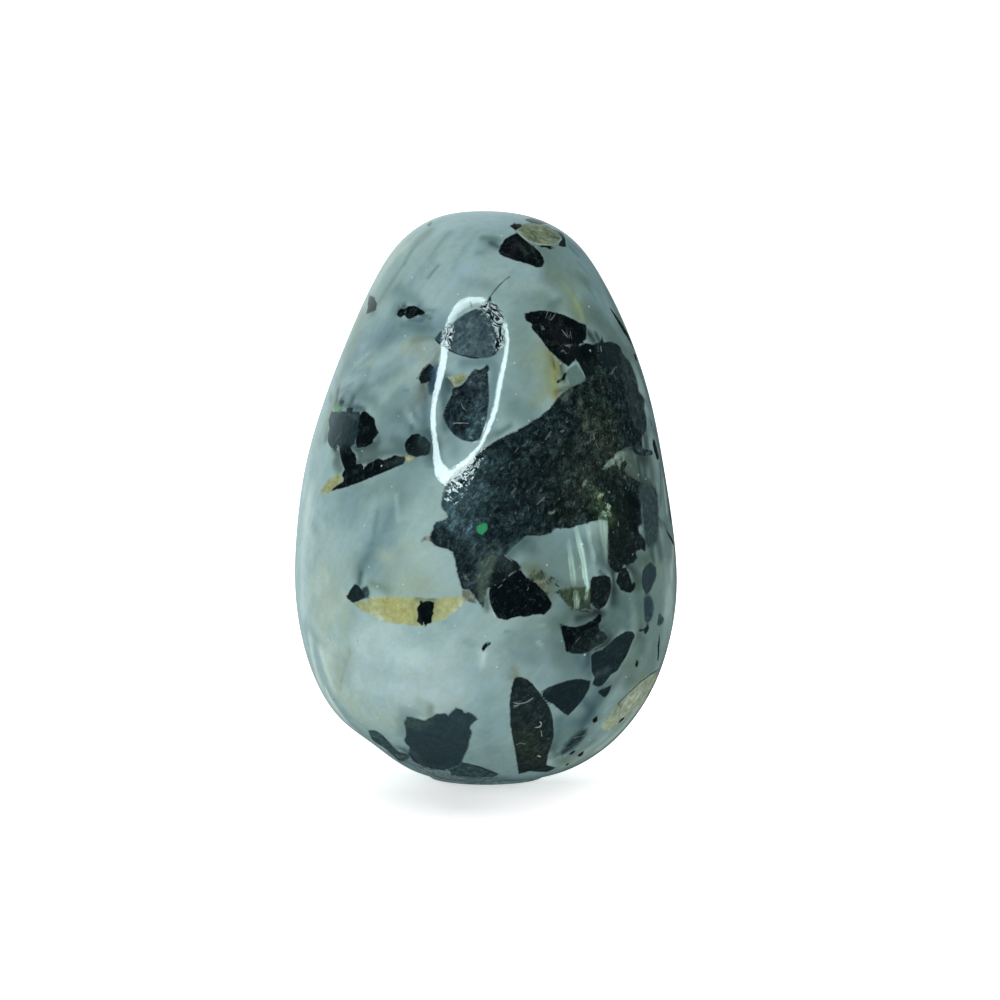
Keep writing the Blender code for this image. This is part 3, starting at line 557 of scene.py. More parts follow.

# Soft veils in the milky body, from start to end in pixels of the front view: width in pixels, colour and
# strength. Pale ones along the edges are painted reflection, and the bands along the foot are painted
# shade and light.
BODY_VEILS = (
    # Broad washes, and pale painted reflection along the edges.
    ((650, 560), (640, 700), 46, (104, 130, 124), 0.9),
    ((650, 380), (668, 560), 26, (104, 130, 128), 0.8),
    ((560, 560), (580, 740), 36, (104, 130, 128), 0.8),
    ((560, 260), (620, 360), 34, (106, 134, 130), 0.7),
    ((470, 250), (430, 300), 34, (147, 174, 178), 0.8),
    ((500, 225), (440, 232), 18, (141, 170, 173), 0.7),
    ((395, 270), (350, 350), 20, (127, 152, 149), 0.8),
    ((440, 330), (392, 332), 16, (98, 128, 132), 0.75),
    ((446, 226), (500, 222), 18, (156, 187, 192), 0.75),
    ((455, 262), (470, 240), 10, (146, 176, 180), 0.5),
    ((600, 700), (626, 668), 11, (98, 120, 113), 0.8),
    ((600, 560), (612, 568), 6, (62, 82, 78), 0.7),
    ((588, 609), (598, 613), 4.5, (26, 40, 39), 0.9),
    ((626, 596), (638, 602), 6, (88, 112, 108), 0.5),
    ((636, 642), (645, 655), 7, (88, 108, 102), 0.6),
    ((340, 350), (400, 335), 10, (108, 136, 142), 0.7),
    ((340, 372), (430, 345), 9, (140, 165, 164), 0.7),
    ((345, 385), (420, 360), 10, (124, 152, 158), 0.6),
    ((400, 395), (380, 440), 20, (111, 137, 138), 0.8),
    ((425, 390), (425, 450), 11, (82, 108, 112), 0.85),
    ((400, 415), (418, 440), 9, (84, 110, 113), 0.7),
    ((345, 392), (372, 400), 8, (92, 119, 122), 0.7),
    # Pale along the left edge: painted reflection.
    ((318, 400), (306, 470), 10, (160, 183, 183), 0.8),
    ((345, 500), (400, 480), 18, (110, 138, 139), 0.75),
    ((400, 500), (368, 566), 20, (112, 141, 143), 0.8),
    ((330, 500), (335, 545), 14, (144, 173, 174), 0.7),
    # Pale along the left edge: painted reflection.
    ((308, 500), (303, 610), 14, (176, 200, 198), 0.9),
    ((326, 545), (330, 600), 12, (158, 182, 180), 0.8),
    ((425, 520), (435, 575), 22, (151, 177, 175), 0.85),
    ((405, 585), (440, 588), 10, (146, 165, 152), 0.6),
    ((335, 590), (345, 620), 16, (150, 172, 160), 0.7),
    # Pale low on the left edge: painted reflection.
    ((320, 620), (345, 700), 22, (166, 188, 178), 0.9),
    ((370, 650), (440, 665), 30, (173, 197, 197), 0.95),
    ((390, 690), (450, 690), 26, (167, 190, 191), 0.9),
    ((370, 720), (395, 715), 16, (157, 180, 176), 0.7),
    ((470, 660), (480, 690), 20, (149, 176, 176), 0.8),
    ((490, 700), (495, 760), 16, (130, 158, 160), 0.85),
    ((520, 640), (540, 630), 22, (116, 143, 142), 0.8),
    ((525, 666), (548, 672), 12, (140, 166, 168), 0.6),
    ((560, 650), (575, 670), 16, (97, 123, 125), 0.8),
    ((540, 545), (560, 575), 16, (104, 130, 129), 0.85),
    ((570, 575), (585, 590), 9, (110, 136, 130), 0.6),
    ((570, 612), (560, 622), 12, (84, 108, 103), 0.85),
    ((612, 560), (645, 560), 14, (78, 100, 96), 0.85),
    ((640, 610), (640, 650), 15, (84, 108, 102), 0.9),
    ((612, 616), (628, 627), 10, (84, 110, 108), 0.9),
    ((622, 600), (628, 615), 13, (82, 108, 106), 0.9),
    ((652, 528), (652, 552), 8, (62, 88, 88), 0.85),
    ((659, 538), (661, 548), 4, (88, 110, 112), 0.7),
    ((668, 572), (664, 640), 11, (138, 165, 161), 0.85),
    # Pale along the right edge, these two: painted reflection.
    ((671, 595), (668, 645), 12, (168, 193, 188), 0.8),
    ((673, 546), (672, 576), 5, (178, 202, 196), 0.85),
    ((664, 650), (657, 668), 8, (142, 162, 156), 0.8),
    ((655, 534), (661, 558), 9, (68, 90, 88), 0.85),
    ((663.5, 480), (667, 512), 3.5, (182, 208, 200), 0.9),
    ((650, 462), (653, 480), 10, (84, 102, 96), 0.9),
    ((643, 456), (645, 476), 7, (66, 84, 78), 0.95),
    ((630, 450), (636, 472), 7, (74, 92, 84), 0.9),
    ((647, 438), (648, 450), 6.5, (64, 83, 79), 0.9),
    ((644, 434), (646, 446), 4, (54, 74, 71), 0.9),
    ((618, 452), (628, 446), 5, (54, 70, 63), 0.9),
    ((633, 450), (642, 458), 5.5, (50, 67, 63), 0.92),
    ((638, 460), (641, 480), 6, (52, 69, 61), 0.95),
    ((624, 470), (636, 482), 6.5, (56, 72, 64), 0.95),
    ((640, 485), (650, 483), 4, (54, 70, 62), 0.9),
    ((630, 660), (640, 690), 16, (106, 128, 120), 0.85),
    ((600, 690), (585, 720), 14, (78, 103, 105), 0.85),
    ((560, 720), (556, 740), 12, (86, 114, 115), 0.85),
    ((566, 760), (592, 742), 9, (106, 130, 124), 0.8),
    # Pale along the lower right edge, these three: painted reflection.
    ((644, 700), (600, 748), 10, (188, 208, 194), 0.9),
    ((604, 738), (586, 751), 7, (158, 180, 171), 0.85),
    ((586, 754), (564, 767), 6, (156, 178, 170), 0.85),
    ((545, 250), (550, 275), 16, (98, 122, 116), 0.8),
    ((575, 250), (600, 300), 18, (126, 158, 160), 0.8),
    ((565, 285), (575, 310), 14, (116, 142, 128), 0.8),
    ((545, 300), (540, 310), 14, (105, 131, 125), 0.8),
    ((520, 310), (525, 380), 24, (117, 144, 142), 0.85),
    ((515, 410), (530, 420), 14, (103, 131, 129), 0.85),
    ((594, 318), (622, 350), 20, (92, 116, 112), 0.85),
    ((650, 420), (654, 432), 4, (98, 122, 124), 0.8),
    ((640, 372), (650, 405), 5, (98, 124, 126), 0.8),
    ((646, 400), (650, 412), 4, (100, 116, 120), 0.7),
    ((452, 440), (456, 455), 9, (110, 136, 138), 0.7),
    ((444, 384), (446, 428), 8, (70, 97, 99), 0.85),
    ((447, 380), (450, 390), 3.5, (54, 80, 80), 0.85),
    ((495, 366), (489, 425), 6, (100, 131, 137), 0.8),
    ((397, 290), (420, 304), 9, (106, 136, 140), 0.8),
    ((372, 292), (373, 311), 6, (82, 110, 107), 0.85),
    ((354, 334), (346, 366), 7, (114, 140, 138), 0.75),
    ((345, 340), (332, 380), 4, (120, 144, 138), 0.6),
    ((410, 282), (430, 262), 6, (126, 154, 158), 0.5),
    # Smoky gaps between the crystals.
    ((357, 449), (361, 456), 5, (44, 60, 62), 0.9),
    ((338, 404), (356, 408), 5, (62, 90, 92), 0.9),
    ((333, 449), (340, 455), 4.5, (66, 84, 83), 0.9),
    ((330, 394), (335, 404), 5, (104, 134, 130), 0.85),
    ((358, 407), (364, 410), 4, (64, 88, 95), 0.9),
    ((328, 420), (326, 440), 4, (74, 98, 100), 0.85),
    ((336, 380), (340, 392), 6, (116, 142, 144), 0.8),
    ((336, 461), (341, 469), 5, (84, 104, 102), 0.85),
    ((358, 462), (370, 461), 4.5, (46, 60, 60), 0.9),
    ((364, 446), (374, 445), 3.5, (40, 54, 54), 0.9),
    ((412, 410), (418, 420), 6, (88, 114, 117), 0.8),
    ((422, 313), (430, 318), 4, (66, 94, 98), 0.85),
    ((488, 438), (496, 432), 5, (104, 130, 132), 0.85),
    ((498, 434), (510, 426), 4, (84, 112, 114), 0.85),
    ((486, 597), (487, 609), 3.5, (74, 88, 82), 0.85),
    ((590, 334), (594, 341), 4, (40, 58, 54), 0.9),
    ((578, 618), (594, 614), 5, (42, 58, 55), 0.9),
    ((613, 572), (614, 590), 5, (34, 48, 46), 0.92),
    ((613, 592), (613, 601), 5, (48, 66, 62), 0.9),
    ((597, 610), (603, 614), 4, (34, 48, 47), 0.9),
    ((600, 572), (604, 576), 4, (48, 68, 64), 0.9),
    ((628, 566), (634, 573), 4, (38, 52, 48), 0.9),
    ((596, 649), (606, 644), 4, (36, 50, 50), 0.9),
    ((588, 652), (588.5, 663), 5, (48, 66, 69), 0.9),
    ((596, 334), (599, 340), 4.5, (44, 62, 60), 0.9),
    ((410, 319), (422, 320), 4.5, (60, 86, 90), 0.85),
    ((404, 306), (406, 310), 3, (44, 58, 60), 0.85),
    ((464, 363), (490, 362), 7, (94, 122, 126), 0.8),
    # Streaks, stains and smoky patches, and among them painted sheen, reflection, shade and light.
    ((336, 396), (392, 356), 5, (146, 172, 172), 0.6),
    ((344, 404), (400, 372), 4, (106, 134, 138), 0.55),
    ((384, 398), (420, 362), 5, (150, 172, 166), 0.55),
    ((330, 400), (352, 384), 3, (92, 120, 124), 0.6),
    ((352, 372), (372, 356), 3.5, (108, 136, 140), 0.5),
    ((396, 352), (416, 340), 4, (152, 172, 164), 0.5),
    ((440, 262), (462, 228), 3, (158, 186, 190), 0.5),
    ((452, 270), (478, 232), 3, (122, 152, 156), 0.5),
    ((410, 284), (436, 250), 4, (122, 150, 154), 0.45),
    ((424, 224), (390, 260), 15, (170, 190, 182), 0.85),
    ((390, 260), (366, 306), 14, (170, 190, 182), 0.85),
    ((362, 318), (326, 424), 9, (130, 150, 141), 0.85),
    ((361, 312), (352, 336), 4, (140, 156, 130), 0.6),
    ((430, 230), (404, 264), 4.5, (104, 130, 124), 0.7),
    ((404, 264), (378, 304), 4.5, (106, 134, 128), 0.7),
    ((346, 364), (392, 338), 7, (106, 134, 142), 0.6),
    ((438, 266), (429, 277), 1.6, (92, 122, 124), 0.7),
    ((450, 232), (430, 258), 3.5, (120, 149, 152), 0.6),
    ((418, 307), (424, 318), 4, (70, 96, 100), 0.8),
    ((422, 309), (433, 311), 4, (88, 114, 116), 0.7),
    ((422, 316), (433, 330), 3.5, (94, 120, 124), 0.7),
    ((402, 324), (424, 328), 6, (82, 110, 112), 0.75),
    ((414, 341), (434, 338), 3, (84, 106, 96), 0.7),
    ((408, 350), (430, 344), 6, (150, 166, 156), 0.6),
    ((426, 352), (418, 374), 4, (148, 166, 158), 0.7),
    ((438, 350), (433, 364), 3.5, (106, 118, 108), 0.75),
    ((424, 384), (420, 400), 8, (104, 118, 108), 0.6),
    # A thin blue line beside the ring's highlight: painted sheen.
    ((437, 367), (434, 398), 2.6, (66, 100, 126), 0.85),
    ((434, 400), (432, 420), 2.5, (84, 112, 132), 0.6),
    ((422, 384), (426, 398), 3, (84, 102, 98), 0.7),
    ((440, 347), (417, 377), 2, (152, 174, 168), 0.55),
    ((411, 424), (412, 429), 3, (64, 92, 92), 0.7),
    ((411, 412), (411, 423), 1.5, (150, 172, 172), 0.8),
    ((404, 391), (408, 391), 1.5, (84, 106, 96), 0.6),
    ((484, 238), (494, 240), 6, (86, 115, 117), 0.85),
    ((491, 243), (498, 247), 2.5, (58, 84, 86), 0.85),
    ((560, 300), (552, 306), 5, (84, 108, 100), 0.6),
    ((571, 292), (578, 306), 2.8, (138, 160, 122), 0.75),
    ((578, 303), (583, 320), 2.6, (136, 158, 118), 0.65),
    ((574, 306), (577, 318), 1.6, (124, 144, 104), 0.6),
    ((564, 286), (573, 298), 3, (124, 150, 128), 0.65),
    ((584, 300), (588, 312), 2.4, (112, 134, 116), 0.5),
    ((569, 246), (578, 256), 1.6, (90, 119, 119), 0.6),
    ((578, 262), (588, 273), 1.4, (92, 121, 121), 0.5),
    ((586, 285), (594, 296), 1.8, (96, 124, 123), 0.5),
    ((548, 276), (556, 268), 4, (116, 140, 126), 0.5),
    ((588, 331), (590, 335), 1.5, (44, 66, 56), 0.8),
    ((548, 354), (552, 392), 12, (130, 145, 116), 0.8),
    ((551, 357), (557, 372), 4.5, (120, 126, 74), 0.9),
    ((553, 372), (555, 396), 6, (138, 150, 104), 0.9),
    ((556, 392), (574, 386), 4, (76, 88, 62), 0.85),
    ((560, 362), (564, 380), 4.5, (78, 94, 72), 0.88),
    ((547, 372), (549, 390), 5, (128, 144, 116), 0.7),
    ((549, 352), (552, 364), 4, (120, 132, 98), 0.7),
    ((552, 358), (555, 369), 1.3, (84, 90, 50), 0.8),
    ((557, 360), (559, 370), 1.4, (152, 156, 100), 0.7),
    ((560, 362), (560.5, 369), 1.2, (76, 84, 54), 0.8),
    ((555, 376), (557, 384), 1.4, (106, 112, 66), 0.6),
    ((556, 392), (558, 402), 3, (122, 118, 88), 0.7),
    ((540, 360), (542, 396), 8, (130, 148, 126), 0.6),
    ((338, 389), (336.5, 402), 3.2, (52, 74, 74), 0.9),
    ((341, 400), (341.5, 404), 4, (58, 80, 78), 0.92),
    ((353, 398), (350, 406), 5, (58, 86, 92), 0.9),
    ((354, 407), (361, 408), 3, (72, 98, 104), 0.7),
    ((342, 376), (368, 370), 6, (108, 136, 140), 0.5),
    ((352, 447), (372, 449), 6, (60, 80, 79), 0.88),
    ((360, 457), (400, 451), 7, (80, 102, 100), 0.9),
    ((378, 437), (379, 442), 2.5, (62, 84, 78), 0.7),
    ((428, 432), (434, 456), 4, (62, 88, 94), 0.75),
    ((402, 498), (361, 574), 6, (104, 133, 137), 0.5),
    ((378, 512), (372, 545), 4, (96, 125, 130), 0.55),
    ((396, 496), (398, 520), 3, (160, 186, 188), 0.5),
    ((362, 566), (368, 556), 4, (92, 120, 124), 0.6),
    ((361, 573), (359, 584), 3.6, (66, 92, 94), 0.9),
    ((372, 583), (386, 590), 6, (106, 132, 116), 0.8),
    ((345, 640), (338, 696), 8, (156, 176, 160), 0.5),
    # Pale along the lower left edge, these four: painted reflection.
    ((310, 640), (320, 684), 9, (196, 216, 206), 0.8),
    ((321, 650), (333, 688), 9, (190, 212, 203), 0.85),
    ((326, 690), (352, 727), 5, (210, 228, 221), 0.85),
    ((320, 684), (350, 730), 12, (184, 206, 197), 0.9),
    ((350, 652), (340, 690), 3, (140, 154, 132), 0.5),
    ((398, 566), (420, 590), 14, (147, 168, 154), 0.7),
    ((404, 714), (402, 734), 5, (112, 140, 138), 0.7),
    ((431.5, 706), (431, 718), 1.5, (120, 138, 128), 0.7),
    ((526, 566), (538, 572), 5, (92, 114, 96), 0.8),
    ((536, 576), (548, 590), 5.5, (98, 108, 88), 0.85),
    ((538, 581), (548, 582), 1.6, (132, 138, 116), 0.8),
    ((541, 583), (543, 587), 1.4, (140, 136, 104), 0.7),
    ((548, 580), (560, 582), 4, (86, 106, 102), 0.75),
    ((564, 586), (584, 584), 4, (88, 108, 102), 0.7),
    ((534, 548), (556, 540), 8, (114, 142, 142), 0.5),
    ((508, 556), (522, 540), 6.5, (70, 95, 95), 0.85),
    ((590, 546), (602, 566), 6, (90, 116, 120), 0.6),
    ((662, 562), (664, 578), 4, (118, 130, 112), 0.7),
    ((652, 554), (654, 562), 4, (58, 76, 72), 0.8),
    ((643, 562), (645, 569), 2.5, (106, 118, 92), 0.8),
    ((634, 570), (640, 578), 5, (70, 86, 72), 0.7),
    ((642, 480), (650, 482), 2.5, (78, 92, 66), 0.6),
    ((660, 521), (662, 528), 1.6, (52, 74, 48), 0.8),
    ((658, 518), (667, 528), 2.5, (70, 92, 90), 0.7),
    ((637, 634), (644, 640), 3, (84, 98, 84), 0.6),
    ((578, 658), (590, 672), 7, (70, 96, 102), 0.7),
    ((584, 700), (592, 712), 6, (64, 92, 100), 0.7),
    ((592, 708), (578, 734), 5, (62, 88, 91), 0.7),
    ((484, 654), (482, 664), 3, (184, 210, 206), 0.75),
    ((492, 658), (497, 672), 4, (150, 178, 180), 0.5),
    ((505, 631), (509, 631), 1.2, (96, 120, 120), 0.7),
    ((514, 668), (516, 676), 2, (110, 126, 104), 0.6),
    ((538, 642), (542, 646), 1.6, (152, 178, 180), 0.7),
    ((538, 624), (544, 625), 1.4, (140, 166, 164), 0.6),
    ((549, 761), (551, 765), 3.2, (168, 192, 186), 0.85),
    ((551, 744), (556, 756), 4, (80, 104, 98), 0.7),
    # Along the foot, these six: darker bands are painted shade of the underside, paler ones painted light
    # from the floor.
    ((386, 744), (402, 756), 6, (96, 122, 124), 0.8),
    ((404, 750), (440, 776), 9, (78, 104, 108), 0.85),
    ((436, 778), (490, 784), 7.5, (138, 158, 160), 0.85),
    ((502, 779), (520, 782), 9, (108, 134, 136), 0.85),
    ((530, 780), (575, 771), 7, (96, 116, 118), 0.8),
    ((474, 758), (510, 764), 7, (138, 166, 168), 0.6),
)

# Soft tones inside the dark crystals, in the same form.
CRYSTAL_VEILS = (
    ((592, 395), (612, 520), 26, (21, 34, 29), 0.75),
    ((560, 452), (590, 500), 16, (26, 38, 33), 0.6),
    ((600, 428), (622, 470), 17, (34, 43, 37), 0.7),
    ((604, 440), (570, 504), 18, (38, 48, 42), 0.6),
    # Olive: painted reflection of the window bars over the patch.
    ((598, 496), (609, 518), 6, (72, 88, 62), 0.7),
    ((580, 400), (588, 430), 4, (52, 62, 50), 0.5),
    ((450, 524), (482, 552), 14, (46, 65, 71), 0.8),
    ((448, 494), (451, 518), 8, (60, 85, 91), 0.85),
    ((468, 484), (472, 524), 12, (52, 74, 80), 0.8),
    ((486, 468), (500, 458), 8, (46, 66, 70), 0.6),
    ((532, 466), (560, 500), 16, (14, 24, 25), 0.6),
    ((520, 448), (566, 424), 9, (18, 30, 32), 0.5),
    ((606, 348), (616, 360), 9, (28, 42, 42), 0.8),
    ((638, 380), (640, 395), 2.5, (24, 40, 46), 0.7),
    ((622, 418), (630, 432), 3.5, (10, 20, 22), 0.7),
    ((474, 476), (484, 490), 9, (54, 77, 82), 0.7),
    ((385, 465), (402, 460), 3.5, (40, 55, 56), 0.85),
    # A thin blue line beside the ring's highlight: painted sheen.
    ((434, 372), (431, 392), 3, (48, 78, 100), 0.8),
    ((352, 472), (362, 469), 3, (30, 42, 46), 0.7),
    ((634, 432), (640, 446), 5, (24, 36, 40), 0.7),
    ((640, 452), (650, 453), 4, (44, 60, 64), 0.8),
    ((638, 536), (640, 548), 5, (32, 36, 38), 0.7),
    ((470, 578), (476, 590), 5, (40, 52, 64), 0.7),
    ((498, 548), (500, 556), 6, (52, 72, 74), 0.7),
    ((512, 540), (508, 552), 4, (52, 72, 74), 0.6),
    ((652, 498), (644, 520), 7, (52, 68, 74), 0.7),
    ((470, 326), (466, 350), 14, (76, 98, 103), 0.7),
    ((484, 320), (494, 345), 6, (58, 74, 84), 0.7),
    ((437, 336), (443, 343), 4, (58, 90, 96), 0.7),
    ((450, 404), (460, 426), 9, (18, 28, 34), 0.9),
    ((456, 390), (468, 400), 6, (16, 26, 32), 0.9),
    ((476, 376), (482, 395), 7, (48, 60, 66), 0.7),
    ((472, 410), (484, 430), 7, (56, 76, 80), 0.6),
    ((424, 440), (425, 453), 5, (34, 50, 54), 0.85),
    ((548, 325), (570, 350), 7, (30, 30, 32), 0.5),
    ((516, 242), (512, 256), 6, (30, 28, 36), 0.6),
    ((519, 245), (526, 254), 4, (46, 58, 56), 0.75),
    ((470, 436), (482, 424), 5, (64, 90, 96), 0.7),
    ((528, 240), (533, 250), 4, (34, 44, 38), 0.7),
    ((341, 432), (335, 441), 1.3, (84, 104, 102), 0.8),
    ((350, 422), (350, 444), 6, (34, 48, 50), 0.75),
    ((348, 414), (356, 417), 3, (60, 76, 84), 0.75),
    ((333, 416), (333, 426), 4, (46, 68, 74), 0.7),
    ((366, 592), (367, 597), 3, (60, 80, 78), 0.85),
    ((598, 674), (606, 671), 4.5, (54, 70, 71), 0.75),
    ((610, 650), (626, 646), 9, (31, 45, 48), 0.8),
    ((645, 567), (652, 564), 4, (44, 60, 58), 0.7),
    ((651, 598), (652.5, 616), 2, (58, 80, 84), 0.7),
    ((660, 617), (661, 622), 2.5, (64, 88, 82), 0.8),
    ((602, 640), (592, 648), 3, (44, 60, 58), 0.6),
    ((544, 690), (549, 692), 2, (54, 72, 74), 0.5),
    ((412, 752), (422, 764), 6, (58, 80, 84), 0.8),
    ((426, 765), (460, 768), 5, (54, 76, 82), 0.7),
    ((374, 736), (380, 738), 3, (66, 92, 92), 0.7),
    ((470, 778), (490, 779), 3, (78, 104, 108), 0.7),
    ((410, 724), (428, 724), 4, (60, 80, 78), 0.7),
    ((513, 690), (520, 686), 6, (18, 28, 32), 0.7),
    ((525, 735), (535, 760), 12, (42, 52, 44), 0.8),
    ((570, 744), (583, 733), 5, (30, 45, 48), 0.9),
    ((398, 757), (403, 757), 2, (112, 134, 130), 0.6),
    ((582, 608), (592, 607), 5, (40, 56, 53), 0.85),
    ((557, 591), (564, 601), 3, (38, 53, 46), 0.8),
    ((572, 592), (572, 608), 1.6, (26, 42, 36), 0.8),
    ((581, 592), (583, 604), 1.4, (26, 42, 36), 0.7),
    ((556, 516), (604, 508), 9, (16, 27, 23), 0.7),
    ((596, 508), (606, 518), 5, (40, 60, 42), 0.8),
)

# Soft tones inside the pale crystals.
PALE_VEILS = (
    ((530, 231), (538, 240), 4.5, (88, 104, 80), 0.8),
    ((553, 237), (557, 239), 3.5, (88, 104, 106), 0.85),
    ((545, 229), (550, 232), 3, (104, 116, 80), 0.6),
    ((356, 605), (368, 603), 5, (138, 154, 118), 0.8),
    ((374, 613), (381, 618), 4, (176, 192, 172), 0.85),
    ((412, 600), (416, 622), 3.5, (138, 148, 92), 0.7),
    ((416, 599), (434, 600), 3.4, (90, 118, 106), 0.9),
    ((436, 606), (437, 618), 3.5, (144, 158, 110), 0.7),
    ((446, 619), (463, 602), 2.5, (172, 186, 154), 0.8),
    ((385, 605), (405, 612), 8, (156, 156, 96), 0.6),
    ((455, 378), (461, 382), 4, (112, 125, 92), 0.85),
    ((450, 377), (452, 379), 2, (156, 176, 168), 0.8),
    ((468, 602), (476, 603), 1.8, (72, 78, 60), 0.85),
    ((474, 596), (478, 601), 2, (136, 140, 126), 0.7),
    ((603, 727), (610, 722), 4, (152, 170, 134), 0.8),
    ((624, 704), (634, 696), 4.5, (170, 182, 160), 0.8),
    ((606, 722), (608, 716), 1.8, (118, 138, 98), 0.7),
    ((613, 714), (616, 709), 2, (116, 128, 100), 0.7),
    ((617, 703), (622, 706), 1.6, (120, 118, 90), 0.8),
    ((614, 727), (630, 714), 3.5, (136, 154, 138), 0.8),
    # Pale along the lower right edge: painted reflection.
    ((655, 678), (632, 714), 3.5, (190, 202, 186), 0.8),
    ((630, 692), (648, 678), 4.5, (146, 155, 136), 0.7),
    ((640, 694), (630, 706), 3, (168, 178, 160), 0.7),
)

# Hair-thin cracks and crystal edges of the front: half width in pixels, tone (0 dark, 1 pale) and route.
HAIRLINES = (
    (0.7, 0.1, ((510, 276.5), (505.5, 279.5), (499, 285.5), (493.5, 292), (490, 297))),
    (0.8, 0.1, ((610, 294), (613, 298.5))),
    (0.8, 0, ((651, 421), (652, 428))),
    (1.2, 0.1, ((659.5, 462), (660.5, 476), (661, 492), (660.5, 508))),
    (0.6, 0.2, ((429, 364), (421, 372), (416, 380))),
    (0.9, 0, ((435, 339), (441, 344.5), (449, 350), (460, 355), (471, 357.5), (479, 358.3))),
    (0.9, 0.1, ((447, 378), (450, 382.5), (453.5, 387))),
    (0.8, 0, ((463, 385.5), (465.5, 382))),
    (0.9, 0.1, ((472, 307), (470, 301))),
    (0.7, 0, ((492.5, 356), (497, 350.5), (501, 345))),
    (0.8, 0.4, ((357.5, 640), (357.2, 641.5))),
    (0.7, 0.4, ((354.5, 650), (354, 651.5))),
    (0.8, 0.4, ((351, 660), (350.6, 661.2))),
    (0.7, 0.4, ((345, 681), (344.2, 682.2))),
    (0.8, 0.4, ((334.5, 699), (333.5, 700.5))),
    (0.6, 0.3, ((392, 279), (390.5, 281.5))),
    (0.6, 0.3, ((386.5, 288), (384.8, 290.5))),
    (0.6, 0.3, ((381.5, 296.5), (380, 299))),
    (0.6, 0.35, ((421, 240), (418.5, 243))),
    (0.6, 0.35, ((414, 249), (412.5, 251.5))),
    (0.6, 0.35, ((401, 267), (399, 270))),
    (0.6, 0.4, ((513.5, 702.5), (519, 704), (526, 702.5), (531, 699.5), (534, 697))),
    (0.5, 0.4, ((513, 708), (517, 707))),
    (0.6, 0.7, ((535.5, 727.5), (540, 727), (542, 723.5), (539.5, 721.5))),
    (0.5, 0.5, ((541, 730), (542, 737))),
    (0.5, 0.4, ((516, 745), (520, 743), (525, 744))),
    (0.8, 0.8, ((538, 755.5), (540.5, 757))),
    (0.9, 0.03, ((659, 668.5), (650, 674.5), (640, 682), (628, 693.5), (618, 703.5))),
    (0.8, 0.2, ((618, 704), (621, 708), (620, 711))),
    (0.6, 0.35, ((600, 731), (592, 741), (578, 753))),
    (0.5, 0.4, ((574, 738), (579, 736.5), (584, 735.5))),
    (0.6, 0.75, (
        (547, 225.5), (556, 231), (561.5, 238), (558, 243.3), (550, 245), (538, 244), (528, 240.8),
        (519, 233.5))),
    (0.5, 0.3, ((548, 311), (545.5, 318))),
    (0.5, 0.3, ((556, 313), (551, 320))),
    (0.5, 0.3, ((562, 330), (568, 338))),
    (0.5, 0.3, ((570, 330), (572, 341))),
    (0.6, 0.4, ((600.7, 345.5), (601.5, 352))),
    (0.9, 0.9, ((589.8, 349.5), (590.6, 351.5))),
    (0.6, 0.2, ((581, 439), (583, 436))),
    (0.7, 0.25, ((590, 439), (590.3, 442.5))),
    (0.7, 0.3, ((593.5, 435.5), (595, 440))),
    (0.6, 0.25, ((596, 443), (597, 446))),
    (0.7, 0.25, ((598.4, 447.5), (599.6, 450.4))),
    (0.5, 0.12, ((586, 432), (593, 431.5), (599, 429), (603, 427))),
    (0.6, 0.2, ((584.4, 443), (585.6, 446))),
    (0.6, 0.2, ((612, 430), (615, 431))),
    (0.8, 0.3, ((624, 479), (625.5, 475))),
    (0.8, 0.3, ((618, 526), (618.5, 521))),
    (1, 0.35, ((613, 533), (614, 531))),
    (0.9, 0.35, ((632, 555), (633.5, 554))),
    (0.7, 0.25, ((560, 432), (565, 430))),
    (0.7, 0.2, ((545, 440), (552, 430))),
    (0.7, 0.25, ((515, 452), (519, 447))),
    (0.7, 0.25, ((500, 470), (504, 466))),
    (0.7, 0.25, ((511, 494), (516, 488))),
    (0.7, 0.2, ((536, 505), (545, 497))),
    (0.7, 0.25, ((473, 499), (476, 493))),
    (0.5, 0, ((457, 774), (466, 771), (474, 770.5))),
    (0.6, 0, ((462, 777.5), (480, 778))),
    (1.1, 0, ((471, 765), (478, 766.8))),
    (1, 0, ((481.5, 768), (487, 770))),
    (1, 0, ((490.5, 771.5), (497, 774.2))),
    (0.5, 0.3, ((450, 776), (456, 774.5))),
    (0.6, 0, ((428, 772), (432, 774.5), (440, 777))),
    (0.5, 0.3, ((395, 754), (401, 756), (409, 755.5))),
    (0.6, 0, ((383, 738), (390, 746), (396, 753))),
    (0.5, 0.35, ((508, 576.5), (514, 571.5))),
    (0.5, 0.35, ((498, 588), (503, 584))),
    (0.5, 0.35, ((504, 555), (512, 561))),
    (0.7, 0.9, ((492.5, 612), (495.5, 617))),
    (0.6, 0.5, ((363, 470.5), (364.5, 465.5), (366, 463))),
    (0.9, 0.7, ((381, 465.5), (382, 466.5))),
    (0.5, 0.35, ((526, 492), (528, 488.5))),
    (0.5, 0.3, ((527, 591), (529, 587))),
    (0.8, 0.03, ((541, 570.5), (543, 574.5))),
    (0.8, 0.03, ((546, 581), (548.5, 584.5))),
    (0.9, 0.03, ((550.5, 577), (554.5, 579))),
    (0.9, 0.03, ((555.5, 584), (559, 587))),
    (0.7, 0.05, ((533, 573), (535, 570))),
    (0.6, 0.2, ((580, 610.5), (586, 609), (592, 611))),
    (0.6, 0.35, ((453, 423.5), (460, 422.5), (468, 423.5))),
    (0.5, 0.4, ((459, 423.5), (464, 422.8), (468.5, 423.5))),
    (0.5, 0.35, ((461, 403), (463, 408), (467, 411))),
    (0.8, 0.9, ((473, 443), (478, 441))),
)

# The back: its azimuths in degrees from the front, and its heights in millimetres.
BACK = (104.0, 256.0)
BACK_HEIGHTS = (1.0, 59.0)
BACK_SEED = 11
